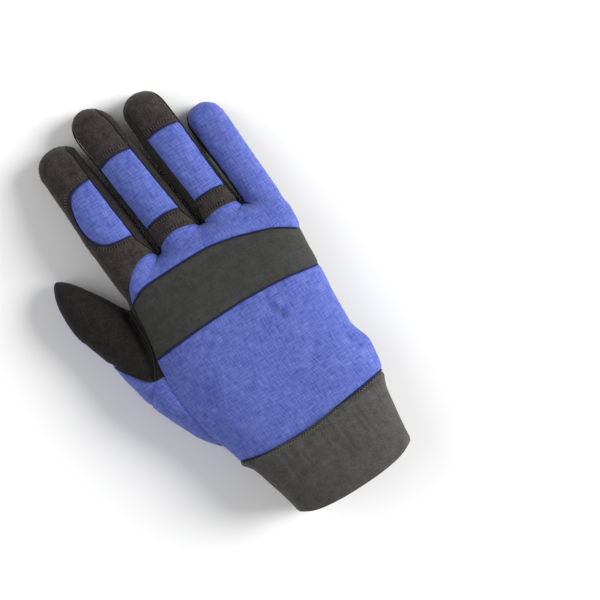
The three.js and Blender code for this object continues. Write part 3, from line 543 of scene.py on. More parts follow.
def inside(outline, p):
    """Distance to an outline in plan, negative inside it: the least distance to its sides, signed by how
    often a ray from the point crosses it."""
    low, high = outline.min(0) - REACH, outline.max(0) + REACH
    near = ((p[:, :2] > low) & (p[:, :2] < high)).all(1)
    x, y = p[near, 0], p[near, 1]
    least = np.full(x.shape, REACH**2)
    crossed = np.zeros(x.shape, bool)
    for (ax, ay), (bx, by) in zip(outline, np.roll(outline, -1, 0)):
        length = (bx - ax) ** 2 + (by - ay) ** 2
        if length < 1e-9:
            continue
        t = np.clip(((x - ax) * (bx - ax) + (y - ay) * (by - ay)) / length, 0, 1)
        least = np.minimum(least, (x - ax - t * (bx - ax)) ** 2 + (y - ay - t * (by - ay)) ** 2)
        if ay != by:
            crossed ^= ((ay > y) != (by > y)) & (x < ax + (y - ay) * (bx - ax) / (by - ay))
    result = np.full(len(p), REACH)
    result[near] = np.where(crossed, -1, 1) * np.sqrt(least)
    return result


def seam_height(p, upper):
    """Height of the side seams at a place in plan. Beyond the web each finger has an upper and a lower
    seam; before it one seam runs along the side of the hand and drops towards the thumb."""
    x, y = p[:, 0], p[:, 1]
    which = sum((x > between(i, y)).astype(int) for i in range(3))
    height = np.zeros(len(p))
    _, thumb_z, _, thumb_b, *_ = THUMB.at(y)
    # Along the thumb the seam slips under the outer edge.
    thumb_seam = mix(THUMB_DEPTH * 0.46, thumb_z - 0.25 * thumb_b, ramp(60, 84, y))
    for i, finger in enumerate(FINGERS):
        rise = np.where(x < finger.x(y), finger.thumb_side, finger.far_side)
        if not upper:
            rise = np.where(rise == 0, 0, -SIDE_STRIP_DROP)
        beyond = finger.seam_height(y, rise)
        merged = ramp(PALM_LENGTH * 0.6, WEB_START, y)
        before = mix(PAD_STAND + PALM_DEPTH * 0.42, finger.seam_height(WEB_START, 0), merged)
        thumb = ramp(-THUMB_SIDE - 12, -THUMB_SIDE + 2, -x) * (1 - merged)
        thumb = np.maximum(thumb, ramp(-THUMB_SIDE + 3, -THUMB_SIDE + 9, -x))
        before = mix(before, thumb_seam, thumb)
        height = np.where(which == i, np.where(y > WEB_START, beyond, before), height)
    over_thumb = x < THUMB_SIDE - 3 - 0.1 * np.maximum(y - WEB_START, 0)
    return np.where(over_thumb & (y > WEB_START), thumb_seam, height)


def below_seam(lane):
    """A tool that takes what lies under the upper side seams inside an outline."""
    return lambda p: np.maximum(p[:, 2] - seam_height(p, True), inside(lane, p))


def in_both(one, other):
    """A tool that takes what lies inside two outlines at once."""
    return lambda p: np.maximum(inside(one, p), inside(other, p))


def cutting_tools():
    """The sewing plan: in this order each tool takes its panel out of what is left of the skin. A tool is a
    function of place that is negative inside the panel and grows with the distance to its edge."""
    wrap = np.vstack([curve(on_hand(THUMB_WEB_SEAM)), on_hand(WRAP_CORNERS)])
    leather = curve(on_thumb(THUMB_LEATHER_SEAM))[:-1]
    gusset_back = np.vstack([curve(on_thumb(GUSSET_BACK_SEAM)), leather[::-1]])
    gusset_palm = curve(on_thumb(GUSSET_PALM_SEAM))
    far_out, past_tip = THUMB_SIDE - THUMB_SPREAD * 3, THUMB_REACH * 1.2
    outside = np.array([(far_out, past_tip), (far_out, 0)])
    past_thumb = np.array([
        (THUMB_SIDE - 0.12 * THUMB_SPREAD, THUMB_REACH * 0.92), (THUMB_SIDE - 0.2 * THUMB_SPREAD, past_tip),
        (-FAR, past_tip), (-FAR, THUMB_REACH * 0.66),
    ])
    thumb_leather = np.vstack([leather, curve(on_hand(THUMB_WEB_SEAM))[::-1], past_thumb])
    wedge = np.vstack([curve(on_hand(THUMB_SIDE_SEAM)), [(-FAR, -FAR / 4), (-FAR, THUMB_REACH * 0.6)]])
    index_side = [(-FAR, PAST_TIPS), (-FAR, WEB_START)]
    index_panel = np.vstack([curve(on_hand(INDEX_SEAM)), web_line(0, PALM_LENGTH), index_side])
    inset = curve(on_finger(FINGERS[0], INSET_OUTLINE))
    lower, upper = curve(on_hand(BAND_LOWER_SEAM)), curve(on_hand(BAND_UPPER_SEAM))
    hand_end = np.array([(PALM_WIDTH, -FAR), (-PALM_WIDTH, -FAR)])

    def gusset(p):
        high = seam_height(p, True)
        back = np.maximum(inside(np.vstack([gusset_back, outside]), p), high - 0.5 - p[:, 2])
        palm = np.maximum(inside(np.vstack([gusset_palm, outside]), p), p[:, 2] - high)
        return np.minimum(back, palm)

    tools = [
        ("thumb_gusset", gusset),
        ("palm", lambda p: np.minimum(p[:, 2] - seam_height(p, False), inside(wrap, p))),
    ]
    for i, name in enumerate(("index_middle", "middle_ring", "ring_little")):
        ends = [np.array([(finger.x(y), y) for y in (WEB_START, PAST_TIPS)]) for finger in FINGERS[i:i + 2]]
        lane = np.vstack([ends[0], ends[1][::-1]])
        tools.append((f"fourchette_{name}", below_seam(lane)))
    tools += [
        ("thumb_back", lambda p: inside(thumb_leather, p)),
        ("side_panel", lambda p: inside(wedge, p)),
        ("index_inset", lambda p: inside(inset, p)),
        ("index_back", lambda p: inside(index_panel, p)),
    ]
    for i in (1, 2):
        finger = FINGERS[i]
        lane = np.vstack([web_line(i - 1), web_line(i)[::-1]])
        lines = [finger_line(finger, edge) for edge in (*PANEL_EDGES[finger.name].values(), (1.3, 1.3))]
        for name, low, high in zip(("strip", "back", "tip"), lines, lines[1:]):
            tools.append((f"{finger.name}_{name}", in_both(np.vstack([low, high[::-1]]), lane)))
    tools += [
        ("knuckle_band", lambda p: inside(np.vstack([lower, upper[::-1]]), p)),
        ("hand_back_lower", lambda p: inside(np.vstack([lower, hand_end]), p)),
        ("hand_back_upper", lambda p: np.full(len(p), -REACH)),
    ]
    return tools


def tube_faces(rows, columns):
    """Triangles of a grid of rows whose columns close on themselves, pointing outwards."""
    row, column = np.meshgrid(np.arange(rows - 1), np.arange(columns), indexing="ij")
    a = (row * columns + column).ravel()
    b = (row * columns + (column + 1) % columns).ravel()
    return np.vstack([np.stack([a, b + columns, b], 1), np.stack([a, a + columns, b + columns], 1)])


def clip(values, faces, edge):
    """Keeps what lies where edge is negative. A triangle that crosses the edge is cut along the straight
    line between the places on its sides where edge is nothing."""
    below = edge < 0
    count = below[faces].sum(1)
    whole = faces[count == 3]
    parts, points, lones = [whole], [values], []
    for kept in (1, 2):
        cut = faces[count == kept]
        lone = (below[cut] if kept == 1 else ~below[cut]).argmax(1)
        cut = np.stack([np.take_along_axis(cut, ((lone + i) % 3)[:, None], 1)[:, 0] for i in range(3)], 1)
        lones.append(cut)
    sides = np.sort(np.vstack([c[:, [0, i]] for c in lones for i in (1, 2)]), 1)
    unique, where = np.unique(sides, axis=0, return_inverse=True)
    where = where.ravel() + len(values)
    a, b = edge[unique[:, 0]], edge[unique[:, 1]]
    t = (a / (a - b))[:, None]
    points.append(values[unique[:, 0]] * (1 - t) + values[unique[:, 1]] * t)
    n1, n2 = len(lones[0]), len(lones[1])
    ab1, ac1, ab2, ac2 = where[:n1], where[n1:2 * n1], where[2 * n1:2 * n1 + n2], where[2 * n1 + n2:]
    parts.append(np.stack([lones[0][:, 0], ab1, ac1], 1))
    b2, c2 = lones[1][:, 1], lones[1][:, 2]
    parts += [np.stack([ab2, b2, c2], 1), np.stack([ab2, c2, ac2], 1)]
    values, faces = np.vstack(points), np.vstack(parts)
    used, renumbered = np.unique(faces, return_inverse=True)
    return values[used], renumbered.reshape(faces.shape)


def keep_apart(p, limb):
    """Holds the skins of neighbouring fingers off the line between them, by a gap that widens as they go."""
    y = p[:, 1]
    gap = ROOT_GAP + TIP_GAP * ramp(PALM_LENGTH + 32, PALM_LENGTH + 66, y)
    gap = gap * ramp(PALM_LENGTH - 8, PALM_LENGTH, y)
    for i in range(3):
        line, left, right = between(i, y), limb == i + 2, limb == i + 3
        p[left, 0] = np.minimum(p[left, 0], (line - gap)[left])
        p[right, 0] = np.maximum(p[right, 0], (line + gap)[right])
    return p


def facing_out(p, normal, faces):
    """Leaves out triangles that were folded over in a tight crease, and so face into the skin."""
    a, b, c = (p[faces[:, i]] for i in range(3))
    return faces[(np.cross(b - a, c - a) * normal[faces].sum(1)).sum(1) > 0]


def past_neighbours(p, finger):
    """How far a point lies beyond the lines that part a finger from its neighbours."""
    x, y = p[:, 0], p[:, 1]
    past = np.full(len(p), -REACH)
    if finger > 0:
        past = np.maximum(past, between(finger - 1, y) - x)
    if finger < 3:
        past = np.maximum(past, x - between(finger, y))
    return past


def tube_grid(limb, y, along, around):
    """A limb's tube as a grid of rows at y, with each point's place and its place in the weave: the arc
    from the top, and how far along the limb the row lies."""
    turn = -math.pi / 2 + 2 * math.pi * np.arange(around) / around
    p = limb.ring(y[:, None], turn[None, :])
    arc = np.linalg.norm(np.diff(p, axis=1, append=p[:, :1]), axis=2).cumsum(1)
    arc = arc - arc[:, around // 2][:, None]
    weave = np.stack([arc, np.broadcast_to(along[:, None], arc.shape)], -1)
    return np.hstack([p.reshape(-1, 3), weave.reshape(-1, 2)]), tube_faces(len(y), around)


def cut_out(values, faces, edge, keep):
    """Keeps a skin where keep is negative, with the distance past its edge as a last column."""
    return clip(np.hstack([values, edge[:, None]]), faces, keep)


def parts_of(values):
    """A cut skin's columns: place, normal, weave place, and depth in from the edge."""
    return values[:, :3], values[:, 3:6], values[:, 6:8], -values[:, -1]


def limb_skin(which, limb, start, step):
    """One limb's part of the skin: its tube as a grid, settled on the whole skin and cut where another limb
    is nearer. Columns of the result: place, normal, weave place and the limb's number."""
    rows = limb.rows[limb.rows[:, 0] >= start]
    y, _, _, a, b, _, _ = rows.T
    narrowing = np.maximum(np.abs(np.diff(a)), np.abs(np.diff(b)))
    run = np.concatenate([[0], np.cumsum(np.hypot(np.diff(y), narrowing))])
    count = int(run[-1] / step)
    along = np.linspace(0, run[-1], count)
    around = int(2 * math.pi * np.sqrt((a.max() ** 2 + b.max() ** 2) / 2) / step)
    raw, faces = tube_grid(limb, np.interp(along, run, y), along, around)
    rivals = [i for i in (range(6) if which < 2 else range(2)) if i != which]
    buried = -limb_distances(raw[:, :3])[rivals].min(0) - BURIED
    raw, faces = clip(raw, faces, buried)
    p, normal = settle(raw[:, :3], own_distance(which))
    d = limb_distances(p, False)
    overlap = 1.0 if which >= 2 else 0.3  # limbs share a little of the same surface where they meet
    beyond = d[which] - d[rivals].min(0) - overlap
    if which >= 2:
        past = np.where(p[:, 1] < PALM_LENGTH + 3, past_neighbours(p, which - 2) - 0.1, -1)
        beyond = np.maximum(beyond, past)
    p = keep_apart(p, np.full(len(p), which))
    limb_number = np.full((len(p), 1), float(which))
    values, faces = clip(np.hstack([p, normal, raw[:, 3:], limb_number]), faces, beyond)
    return values, facing_out(values[:, :3], values[:, 3:6], faces)


def make_mesh(name, p, faces, weave=None):
    """Puts points in millimetres and faces into a smooth mesh in metres, without loose points."""
    mesh = bpy.data.meshes.new(name)
    used, where = np.unique(faces, return_inverse=True)
    faces = where.reshape(faces.shape)
    p, weave = p[used], None if weave is None else weave[used]
    place = (p + (ORIGIN_X, ORIGIN_Y, 0)) * MM
    mesh.vertices.add(len(p))
    mesh.vertices.foreach_set("co", place.astype(np.float32).ravel())
    mesh.loops.add(faces.size)
    mesh.loops.foreach_set("vertex_index", faces.astype(np.int32).ravel())
    mesh.polygons.add(len(faces))
    mesh.polygons.foreach_set("loop_start", np.arange(0, faces.size, faces.shape[1], dtype=np.int32))
    mesh.update(calc_edges=True)
    if weave is not None:
        layer = mesh.uv_layers.new(name="weave")
        layer.data.foreach_set("uv", (weave[faces.ravel()] * MM).astype(np.float32).ravel())
    mesh.validate()
    mesh.shade_smooth()
    return mesh


def hold_above_floor(piece):
    """Applies a piece's modifiers, and lifts what they pushed through the floor back onto it."""
    mesh = bpy.data.meshes.new_from_object(piece.evaluated_get(bpy.context.evaluated_depsgraph_get()))
    piece.modifiers.clear()
    place = np.empty(len(mesh.vertices) * 3, np.float32)
    mesh.vertices.foreach_get("co", place)
    place[2::3] = np.maximum(place[2::3], LOWEST * MM)
    mesh.vertices.foreach_set("co", place)
    mesh.update()
    piece.data = mesh


def add_piece(name, p, faces, finish, slot, nodes=(), wall=0.0, weave=None, weld_mm=0.15):
    """Links a piece, gives it its wall and its finish, and lets it ride on the glove's one body."""
    mesh = make_mesh(name, p, faces, weave)
    piece = bpy.data.objects.new(name, mesh)
    bpy.context.scene.collection.objects.link(piece)
    mesh.materials.append(MATERIALS[finish])
    weld = piece.modifiers.new("weld", "WELD")
    weld.merge_threshold = weld_mm * MM
    if wall:
        solid = piece.modifiers.new("wall", "SOLIDIFY")
        solid.thickness = wall * MM
        solid.offset = -1
        solid.use_even_offset = False
        hold_above_floor(piece)
    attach(piece, "root")
    if nodes:
        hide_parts(*nodes)
    return piece


def linear(code):
    """Turns an sRGB hex colour into the linear values that shaders take."""
    srgb = [int(code[i:i + 2], 16) / 255 for i in (1, 3, 5)]
    return (*[c / 12.92 if c <= 0.04045 else ((c + 0.055) / 1.055) ** 2.4 for c in srgb], 1.0)


def add_node(tree, kind, inputs=(), **settings):
    """Adds a node, sets its settings, and fills its inputs with values or links from other sockets."""
    node = tree.nodes.new(kind)
    for key, value in settings.items():
        setattr(node, key, value)
    for key, value in dict(inputs).items():
        if isinstance(value, bpy.types.NodeSocket):
            tree.links.new(value, node.inputs[key])
        else:
            node.inputs[key].default_value = value
    return node


def start_material(name, roughness, sheen):
    """A material with its own shader's uniform numbers set, and its node tree."""
    material = bpy.data.materials.new(name)
    material.use_nodes = True
    shader = material.node_tree.nodes["Principled BSDF"]
    numbers = {
        "Roughness": roughness, "Sheen Weight": sheen, "Sheen Roughness": 0.5, "Specular IOR Level": 0.25,
    }
    for key, value in numbers.items():
        shader.inputs[key].default_value = value
    return material, material.node_tree, shader


def colour_by(tree, factor, colours, low, high):
    """Goes from a deep to a pale colour, both linear, between two values of a factor."""
    ramp_node = add_node(tree, "ShaderNodeValToRGB", {"Fac": factor})
    for element, position, value in zip(ramp_node.color_ramp.elements, (low, high), colours):
        element.position, element.color = position, value
    return ramp_node.outputs["Color"]


def noise(tree, place, scale, detail, roughness=0.5):
    """A noise field's value."""
    settings = {"Vector": place, "Scale": scale, "Detail": detail, "Roughness": roughness}
    return add_node(tree, "ShaderNodeTexNoise", settings).outputs["Fac"]


def wave(tree, place, pitch, direction, settings):
    """Bands this many millimetres apart. At scale 1 a wave node's bands are 0.314 apart."""
    inputs = {"Vector": place, "Scale": 0.314 / (pitch * MM), **settings}
    return add_node(tree, "ShaderNodeTexWave", inputs, bands_direction=direction).outputs["Fac"]


def sum_up(tree, operation, *values):
    """The result of a sum on two or three values."""
    return add_node(tree, "ShaderNodeMath", dict(enumerate(values)), operation=operation).outputs[0]


def colour_and_relief(tree, shader, field, colours, low, high, strength, relief):
    """Lets one field drive both the colour and the relief, so that what stands out is paler."""
    relief_inputs = {"Height": field, "Strength": strength, "Distance": relief * MM}
    bump = add_node(tree, "ShaderNodeBump", relief_inputs)
    tree.links.new(colour_by(tree, field, colours, low, high), shader.inputs["Base Color"])
    tree.links.new(bump.outputs[0], shader.inputs["Normal"])


def cloth_material(name, colours, pitch, slub, relief, roughness, sheen):
    """Two sets of threads crossing: fine bands across the weave's own plane for the threads, and noise
    drawn out along each of them for the slubs, where a thread is thicker and paler."""
    material, tree, shader = start_material(name, roughness, sheen)
    weave = add_node(tree, "ShaderNodeUVMap", uv_map="weave").outputs["UV"]
    slubs, bands = [], []
    for direction, stretch in (("X", (1, 0.1, 1)), ("Y", (0.1, 1, 1))):
        scale = [c / (slub * MM) for c in stretch]
        drawn = add_node(tree, "ShaderNodeMapping", {"Vector": weave, "Scale": scale}).outputs[0]
        slubs.append(noise(tree, drawn, 1.0, 2.0))
        uneven = {"Distortion": 1.2, "Detail": 1.0, "Detail Scale": 0.4}
        bands.append(wave(tree, weave, pitch, direction, uneven))
    threads = sum_up(tree, "MAXIMUM", *bands)
    clouds = noise(tree, weave, 1 / (14 * MM), 3.0)
    fine = sum_up(tree, "MULTIPLY_ADD", threads, 0.12, clouds)
    mixed = {"Factor": 0.7, "A": fine, "B": sum_up(tree, "ADD", *slubs)}
    both = sum_up(tree, "MULTIPLY", add_node(tree, "ShaderNodeMix", mixed).outputs[0], 0.6)
    colour_and_relief(tree, shader, both, colours, 0.31, 0.77, 0.7, relief)
    return material


def nap_material(name, colours, patch, fibre, relief, roughness, sheen, spread=0.2):
    """Mottled nap: coarse noise for the patches brushed each way, and fine noise for the fibres."""
    material, tree, shader = start_material(name, roughness, sheen)
    place = add_node(tree, "ShaderNodeTexCoord").outputs["Object"]
    patches = noise(tree, place, 1 / (patch * MM), 4.0, 0.7)
    fibres = noise(tree, place, 1 / (fibre * MM), 2.0, 0.6)
    both = add_node(tree, "ShaderNodeMix", {"Factor": 0.5, "A": patches, "B": fibres}).outputs[0]
    colour_and_relief(tree, shader, both, colours, 0.5 - spread / 2, 0.5 + spread / 2, 0.8, relief)
    return material


def thread_material(name, colours, twist):
    """Spun thread: slanting bands for its twist."""
    material, tree, shader = start_material(name, 0.7, 0.2)
    place = add_node(tree, "ShaderNodeTexCoord").outputs["Object"]
    twisted = wave(tree, place, twist, "DIAGONAL", {"Distortion": 0.5})
    tree.links.new(colour_by(tree, twisted, colours, 0.1, 0.8), shader.inputs["Base Color"])
    return material


MATERIALS = {}
SKINS = []
PANELS = {}


def cut_panels(step):
    """Works out the skin and every panel's share of it."""
    starts = [-6.0, 8.0] + [WEB_START - 14.0] * 4
    tools = cutting_tools()
    wrist = np.vstack([curve(on_hand(WRIST_SEAM)), [(FAR, 0), (FAR, FAR), (-FAR, FAR), (-FAR, 0)]])
    for name, _ in tools:
        PANELS[name] = []
    for which, (limb, start) in enumerate(zip(LIMBS, starts)):
        values, faces = limb_skin(which, limb, start, step)
        SKINS.append((values, faces))
        left = inside(wrist, values[:, :3])
        for name, tool in tools:
            own = tool(values[:, :3])
            edge = np.maximum(left, own)
            left = np.maximum(left, -own)
            if (edge < -0.1).any():
                part = cut_out(values, faces, edge, edge - SLACK)
                if len(part[1]):
                    PANELS[name].append(part)


def joined(parts):
    """Several meshes' values and faces as one."""
    values, faces, start = [], [], 0
    for v, f in parts:
        values.append(v)
        faces.append(f + start)
        start += len(v)
    return np.vstack(values), np.vstack(faces)


# Soft folds seen in the cloth: corners in plan, height in mm (a valley is negative) and half width.
FOLDS = [
    (((14, 71), (13, 63), (16, 53)), -0.5, 1.6),
    (((18, 70), (18, 62), (21, 54)), 0.4, 1.8),
    (((43, 30), (47, 22), (49, 17)), 0.9, 2.4),
    (((38, 27), (41, 20), (44, 12)), -0.6, 2.2),
    (((-38, 14), (-24, 10), (-12, 12)), -0.4, 2.6),
    (((-46, 36), (-38, 26), (-34, 16)), 0.35, 3.0),
    (((34, 90), (26, 96), (14, 99)), -0.4, 2.5),
    (((-46, 108), (-40, 103), (-34, 104)), -0.5, 2.0),
    (((-33, 112), (-27, 110), (-22, 113)), -0.45, 1.8),
    (((-53.6, 99), (-53.8, 90), (-54.4, 82), (-56.5, 74), (-60, 67)), -2.4, 2.3),
    (((-66, 124), (-61, 116), (-57, 108)), -0.7, 1.6),
    (((-70, 84), (-64, 78), (-60, 70)), 0.4, 2.6),
]
# The same for the palm's leather, seen from below.
PALM_FOLDS = [
    (((-39.7, 77), (-38, 68), (-37.5, 58)), -1.7, 1.3),
    (((-41, 75), (-46, 60), (-49, 42)), -1.9, 1.5),
    (((-42.5, 68), (-43, 62), (-44, 54)), 0.6, 1.8),
    (((-12.7, 12), (-11, 7), (-10, 3)), -0.6, 1.3),
    (((-7, 12), (-6, 7), (-6, 3)), -0.6, 1.3),
    (((-1, 11), (0, 7), (0, 3)), -0.5, 1.3),
    (((-36, 128), (-26, 130), (-22, 129)), -0.6, 1.5),
    (((-14, 132), (-4, 133), (4, 132)), -0.6, 1.5),
    (((12, 130), (22, 131), (28, 129)), -0.6, 1.5),
    (((-40, 150), (-32, 152), (-26, 151)), -0.5, 1.4),
    (((-18, 158), (-8, 160), (0, 158)), -0.5, 1.4),
    (((8, 153), (17, 155), (25, 153)), -0.5, 1.4),
]


def near_line(corners, p):
    """Distance in plan to a smooth open line."""
    line = curve(np.array(corners, float), 5)
    least = np.full(len(p), 1e6)
    for a, b in zip(line, line[1:]):
        t = np.clip(((p[:, :2] - a) @ (b - a)) / ((b - a) @ (b - a)), 0, 1)
        least = np.minimum(least, ((p[:, :2] - a - t[:, None] * (b - a)) ** 2).sum(1))
    return np.sqrt(least)


def dents(p, normal):
    """The dents of worn cloth along the normal: broad and narrow lumps, and each fold as a bell curve
    across its line. It is one function for all panels, so that they keep together at their seams."""
    lift = 0.4 * lumps(p, 24.0, 11) + 0.18 * lumps(p, 9.0, 12) + 0.06 * lumps(p, 4.0, 13)
    for folds, towards in ((FOLDS, normal[:, 2]), (PALM_FOLDS, -normal[:, 2])):
        facing = ramp(-0.1, 0.25, towards)
        for corners, height, width in folds:
            here = (facing > 0) & (np.abs(p[:, :2] - np.mean(corners, 0)).max(1) < 32)
            if here.any():
                lift[here] += facing[here] * height * np.exp(-((near_line(corners, p[here]) / width) ** 2))
    return lift


def without_slivers(values, faces):
    """Leaves out loose bits that reach less than a millimetre in from their edge, as two seams side by side
    leave them. Each point takes the least number among its neighbours until every bit has one number."""
    bit = np.arange(len(values))
    while True:
        least = bit.copy()
        np.minimum.at(least, faces, bit[faces].min(1)[:, None])
        least = least[least]
        if (least == bit).all():
            break
        bit = least
    reach = np.zeros(len(values))
    np.maximum.at(reach, bit, -values[:, -1])
    return values, faces[reach[bit[faces[:, 0]]] > 1.0]


def sew_panel(name, piece_name, finish, slot, roll, wall):
    """One sewn panel: its skin lifted by a gentle puff, rolled down at its edges, with the dents of worn
    cloth and small puckers along its seams."""
    values, faces = without_slivers(*joined(PANELS[name]))
    p, normal, weave, depth = parts_of(values)
    lift = PUFF * ramp(0, REACH, depth) - roll * (1 - ramp(-0.4, 1.7, depth)) + dents(p, normal)
    lift += 0.22 * lumps(p, 2.4, 21) * (1 - ramp(1.0, 5.0, depth)) * ramp(0, 1.5, depth)
    p = keep_apart(p + normal * lift[:, None], values[:, 8])
    p[:, 2] = np.maximum(p[:, 2], PALM_LOWEST if name == "palm" else PANEL_LOWEST)
    return add_piece(piece_name, p, facing_out(p, normal, faces), finish, slot, [name], wall, weave, 0.001)


def on_skin(line, below=False, distance=skin_distance):
    """Drops points in plan onto the skin, by halving the height between inside and outside, and returns
    them with their normals."""
    inner, outer = np.full(len(line), 9.0), np.full(len(line), -3.0 if below else 55.0)
    for _ in range(22):
        middle = (inner + outer) / 2
        out = distance(np.column_stack([line, middle])) > 0
        inner, outer = np.where(out, inner, middle), np.where(out, middle, outer)
    return settle(np.column_stack([line, inner]), distance, rounds=2)


def along_line(line, places):
    """Points at given distances along an open line."""
    run = np.concatenate([[0], np.cumsum(np.linalg.norm(np.diff(line, axis=0), axis=1))])
    return np.stack([np.interp(places, run, line[:, i]) for i in (0, 1)], 1)


def line_length(line):
    """The length of an open line."""
    return np.linalg.norm(np.diff(line, axis=0), axis=1).sum()


def evenly(line, step=CORD_STEP):
    """Points a step apart along a line."""
    return along_line(line, np.arange(0, line_length(line), step))


def beside(line, distance):
    """A line moved sideways to its left."""
    way = unit(np.gradient(line, axis=0))
    return line + np.column_stack([-way[:, 1], way[:, 0]]) * distance


def running_stitches(line, length, gap):
    """Ends of stitches that run along a line, one after another."""
    starts = np.arange(gap / 2, line_length(line) - length, length + gap)
    return along_line(line, starts), along_line(line, starts + length)


def across_line(line, places):
    """Points at given distances along a line, and the direction to its left there."""
    ahead = unit(along_line(line, places + 0.2) - along_line(line, places - 0.2))
    return along_line(line, places), np.column_stack([-ahead[:, 1], ahead[:, 0]])


def ladder_stitches(line, length, gap):
    """Ends of stitches that stand across a line, side by side."""
    middle, left = across_line(line, np.arange(gap / 2, line_length(line), gap))
    return middle - left * length / 2, middle + left * length / 2


def zigzag_stitches(line, width, gap):
    """Ends of stitches that go to and fro across a line."""
    middle, left = across_line(line, np.arange(gap / 2, line_length(line), gap))
    turns = middle + left * (width / 2 * (-1.0) ** np.arange(len(middle)))[:, None]
    return turns[:-1], turns[1:]


def six_round(way, normal):
    """Six directions round each way, of which the first lies on the skin."""
    turn = np.linspace(0, 2 * math.pi, 6, endpoint=False)
    side = unit(np.cross(way, normal))
    return side[:, None] * np.cos(turn)[:, None] + normal[:, None] * np.sin(turn)[:, None]


def thread_bars(start, end, normal, radius, height):
    """Each stitch is a bar from start to end: its radius swells as a root of a sine from nothing at both
    ends, and its middle rises by the height as a sine."""
    s = np.array([0, 0.06, 0.3, 0.7, 0.94, 1])
    way = end - start
    swell = radius * np.sqrt(np.abs(np.sin(math.pi * s)))
    swell[[0, -1]] = 0
    rise = height * np.sin(math.pi * s)
    middle = start[:, None] + way[:, None] * s[:, None] + normal[:, None] * rise[:, None]
    ring = six_round(way, normal)
    p = middle[:, :, None] + swell[:, None, None] * ring[:, None]
    row, column = np.meshgrid(np.arange(5), np.arange(6), indexing="ij")
    a, b = row * 6 + column, row * 6 + (column + 1) % 6
    quad = np.stack([a, b, b + 6, a + 6], -1).reshape(-1, 4)
    faces = (np.arange(len(start))[:, None, None] * 36 + quad).reshape(-1, 4)
    return p.reshape(-1, 3), faces


def cord_along(p, normal, radius):
    """A thin tube along a line on the skin, closed at its ends: rings of six points across the line."""
    size = np.full(len(p), radius)
    size[[0, -1]] = 0.01
    points = p[:, None] + six_round(np.gradient(p, axis=0), normal) * size[:, None, None]
    return points.reshape(-1, 3), tube_faces(len(p), 6)


def sunk_cord(p, normal, sink, radius):
    """A cord that lies in the dressed skin, this much deeper than its surface."""
    return cord_along(p + normal * (dents(p, normal) - sink)[:, None], normal, radius)


def on_panel(p, normal):
    """How high a panel stands off the skin some way from its seams."""
    return PUFF + dents(p, normal)


def side_seam(which, side):
    """The upper seam of a side strip: where its height meets the finger's outline, settled on the skin."""
    finger = FINGERS[which]
    y = np.linspace(WEB_START + 10, PALM_LENGTH + finger.reach * 0.965, 130)
    x, z, a, b, n, _ = finger.limb.at(y)
    height = finger.seam_height(y, finger.thumb_side if side < 0 else finger.far_side)
    share = np.clip(np.abs(height - z) / b, 0, 1)
    p = np.stack([x + side * a * (1 - share**n) ** (1 / n), y, height], 1)
    return settle(p, own_distance(which + 2), rounds=3)


def still_there(p, line):
    """Which points stayed where the line has them in plan, and so didn't miss the skin."""
    return np.linalg.norm(p[:, :2] - line, axis=1) < 0.4


def stitch_rows(name, rows, thread, radius, height, lift=on_panel, below=False, distance=skin_distance):
    """Sews rows of stitches, given as pairs of ends in plan, onto the dressed skin as one piece of thread.
    A stitch that would fall beside the glove is left out."""
    lines = [np.vstack([row[i] for row in rows]) for i in (0, 1)]
    ends = [on_skin(line, below, distance) for line in lines]
    kept = still_there(ends[0][0], lines[0]) & still_there(ends[1][0], lines[1])
    start, end = ((p[kept], normal[kept]) for p, normal in ends)
    places = [p + normal * lift(p, normal)[:, None] for p, normal in (start, end)]
    p, faces = thread_bars(*places, start[1], radius, height)
    p[:, 2] = np.maximum(p[:, 2], LOWEST)
    return add_piece(name, p, faces, thread, thread)


PADS = {"palm_pad": PAD_OUTLINE, "heel_pad": HEEL_PAD_OUTLINE}


def pad_outline(rows):
    """A pad's outline as a closed smooth line in plan."""
    return curve(on_hand(np.vstack([rows, rows[:1]])))


def pad_lift(depth, p, normal):
    """How high a pad stands off the skin: it rises over its first millimetres to its full height, where it
    is quilted flat by the floor."""
    return 0.2 + 1.15 * ramp(-0.3, 2.4, depth) + np.minimum(dents(p, normal), 0.05)


def length_property(name, description, length):
    """A length that the panel shows, given in millimetres."""
    return FloatProperty(name=name, description=description, default=length * MM, unit="LENGTH")


class GloveSizes(bpy.types.PropertyGroup):
    """Sizes of the sewing."""

    step: length_property("Step", "Distance between the points of the skin", 0.82)
    cloth: length_property("Cloth", "Thickness of the cloth and leather", 1.2)
    roll: length_property("Seam roll", "How deep a panel's edge rolls into its seam", 0.9)


def colour_property(name, description, code):
    """A colour that the panel shows, given as an sRGB hex code."""
    return FloatVectorProperty(
        name=name, description=description, size=4, subtype="COLOR", default=linear(code))


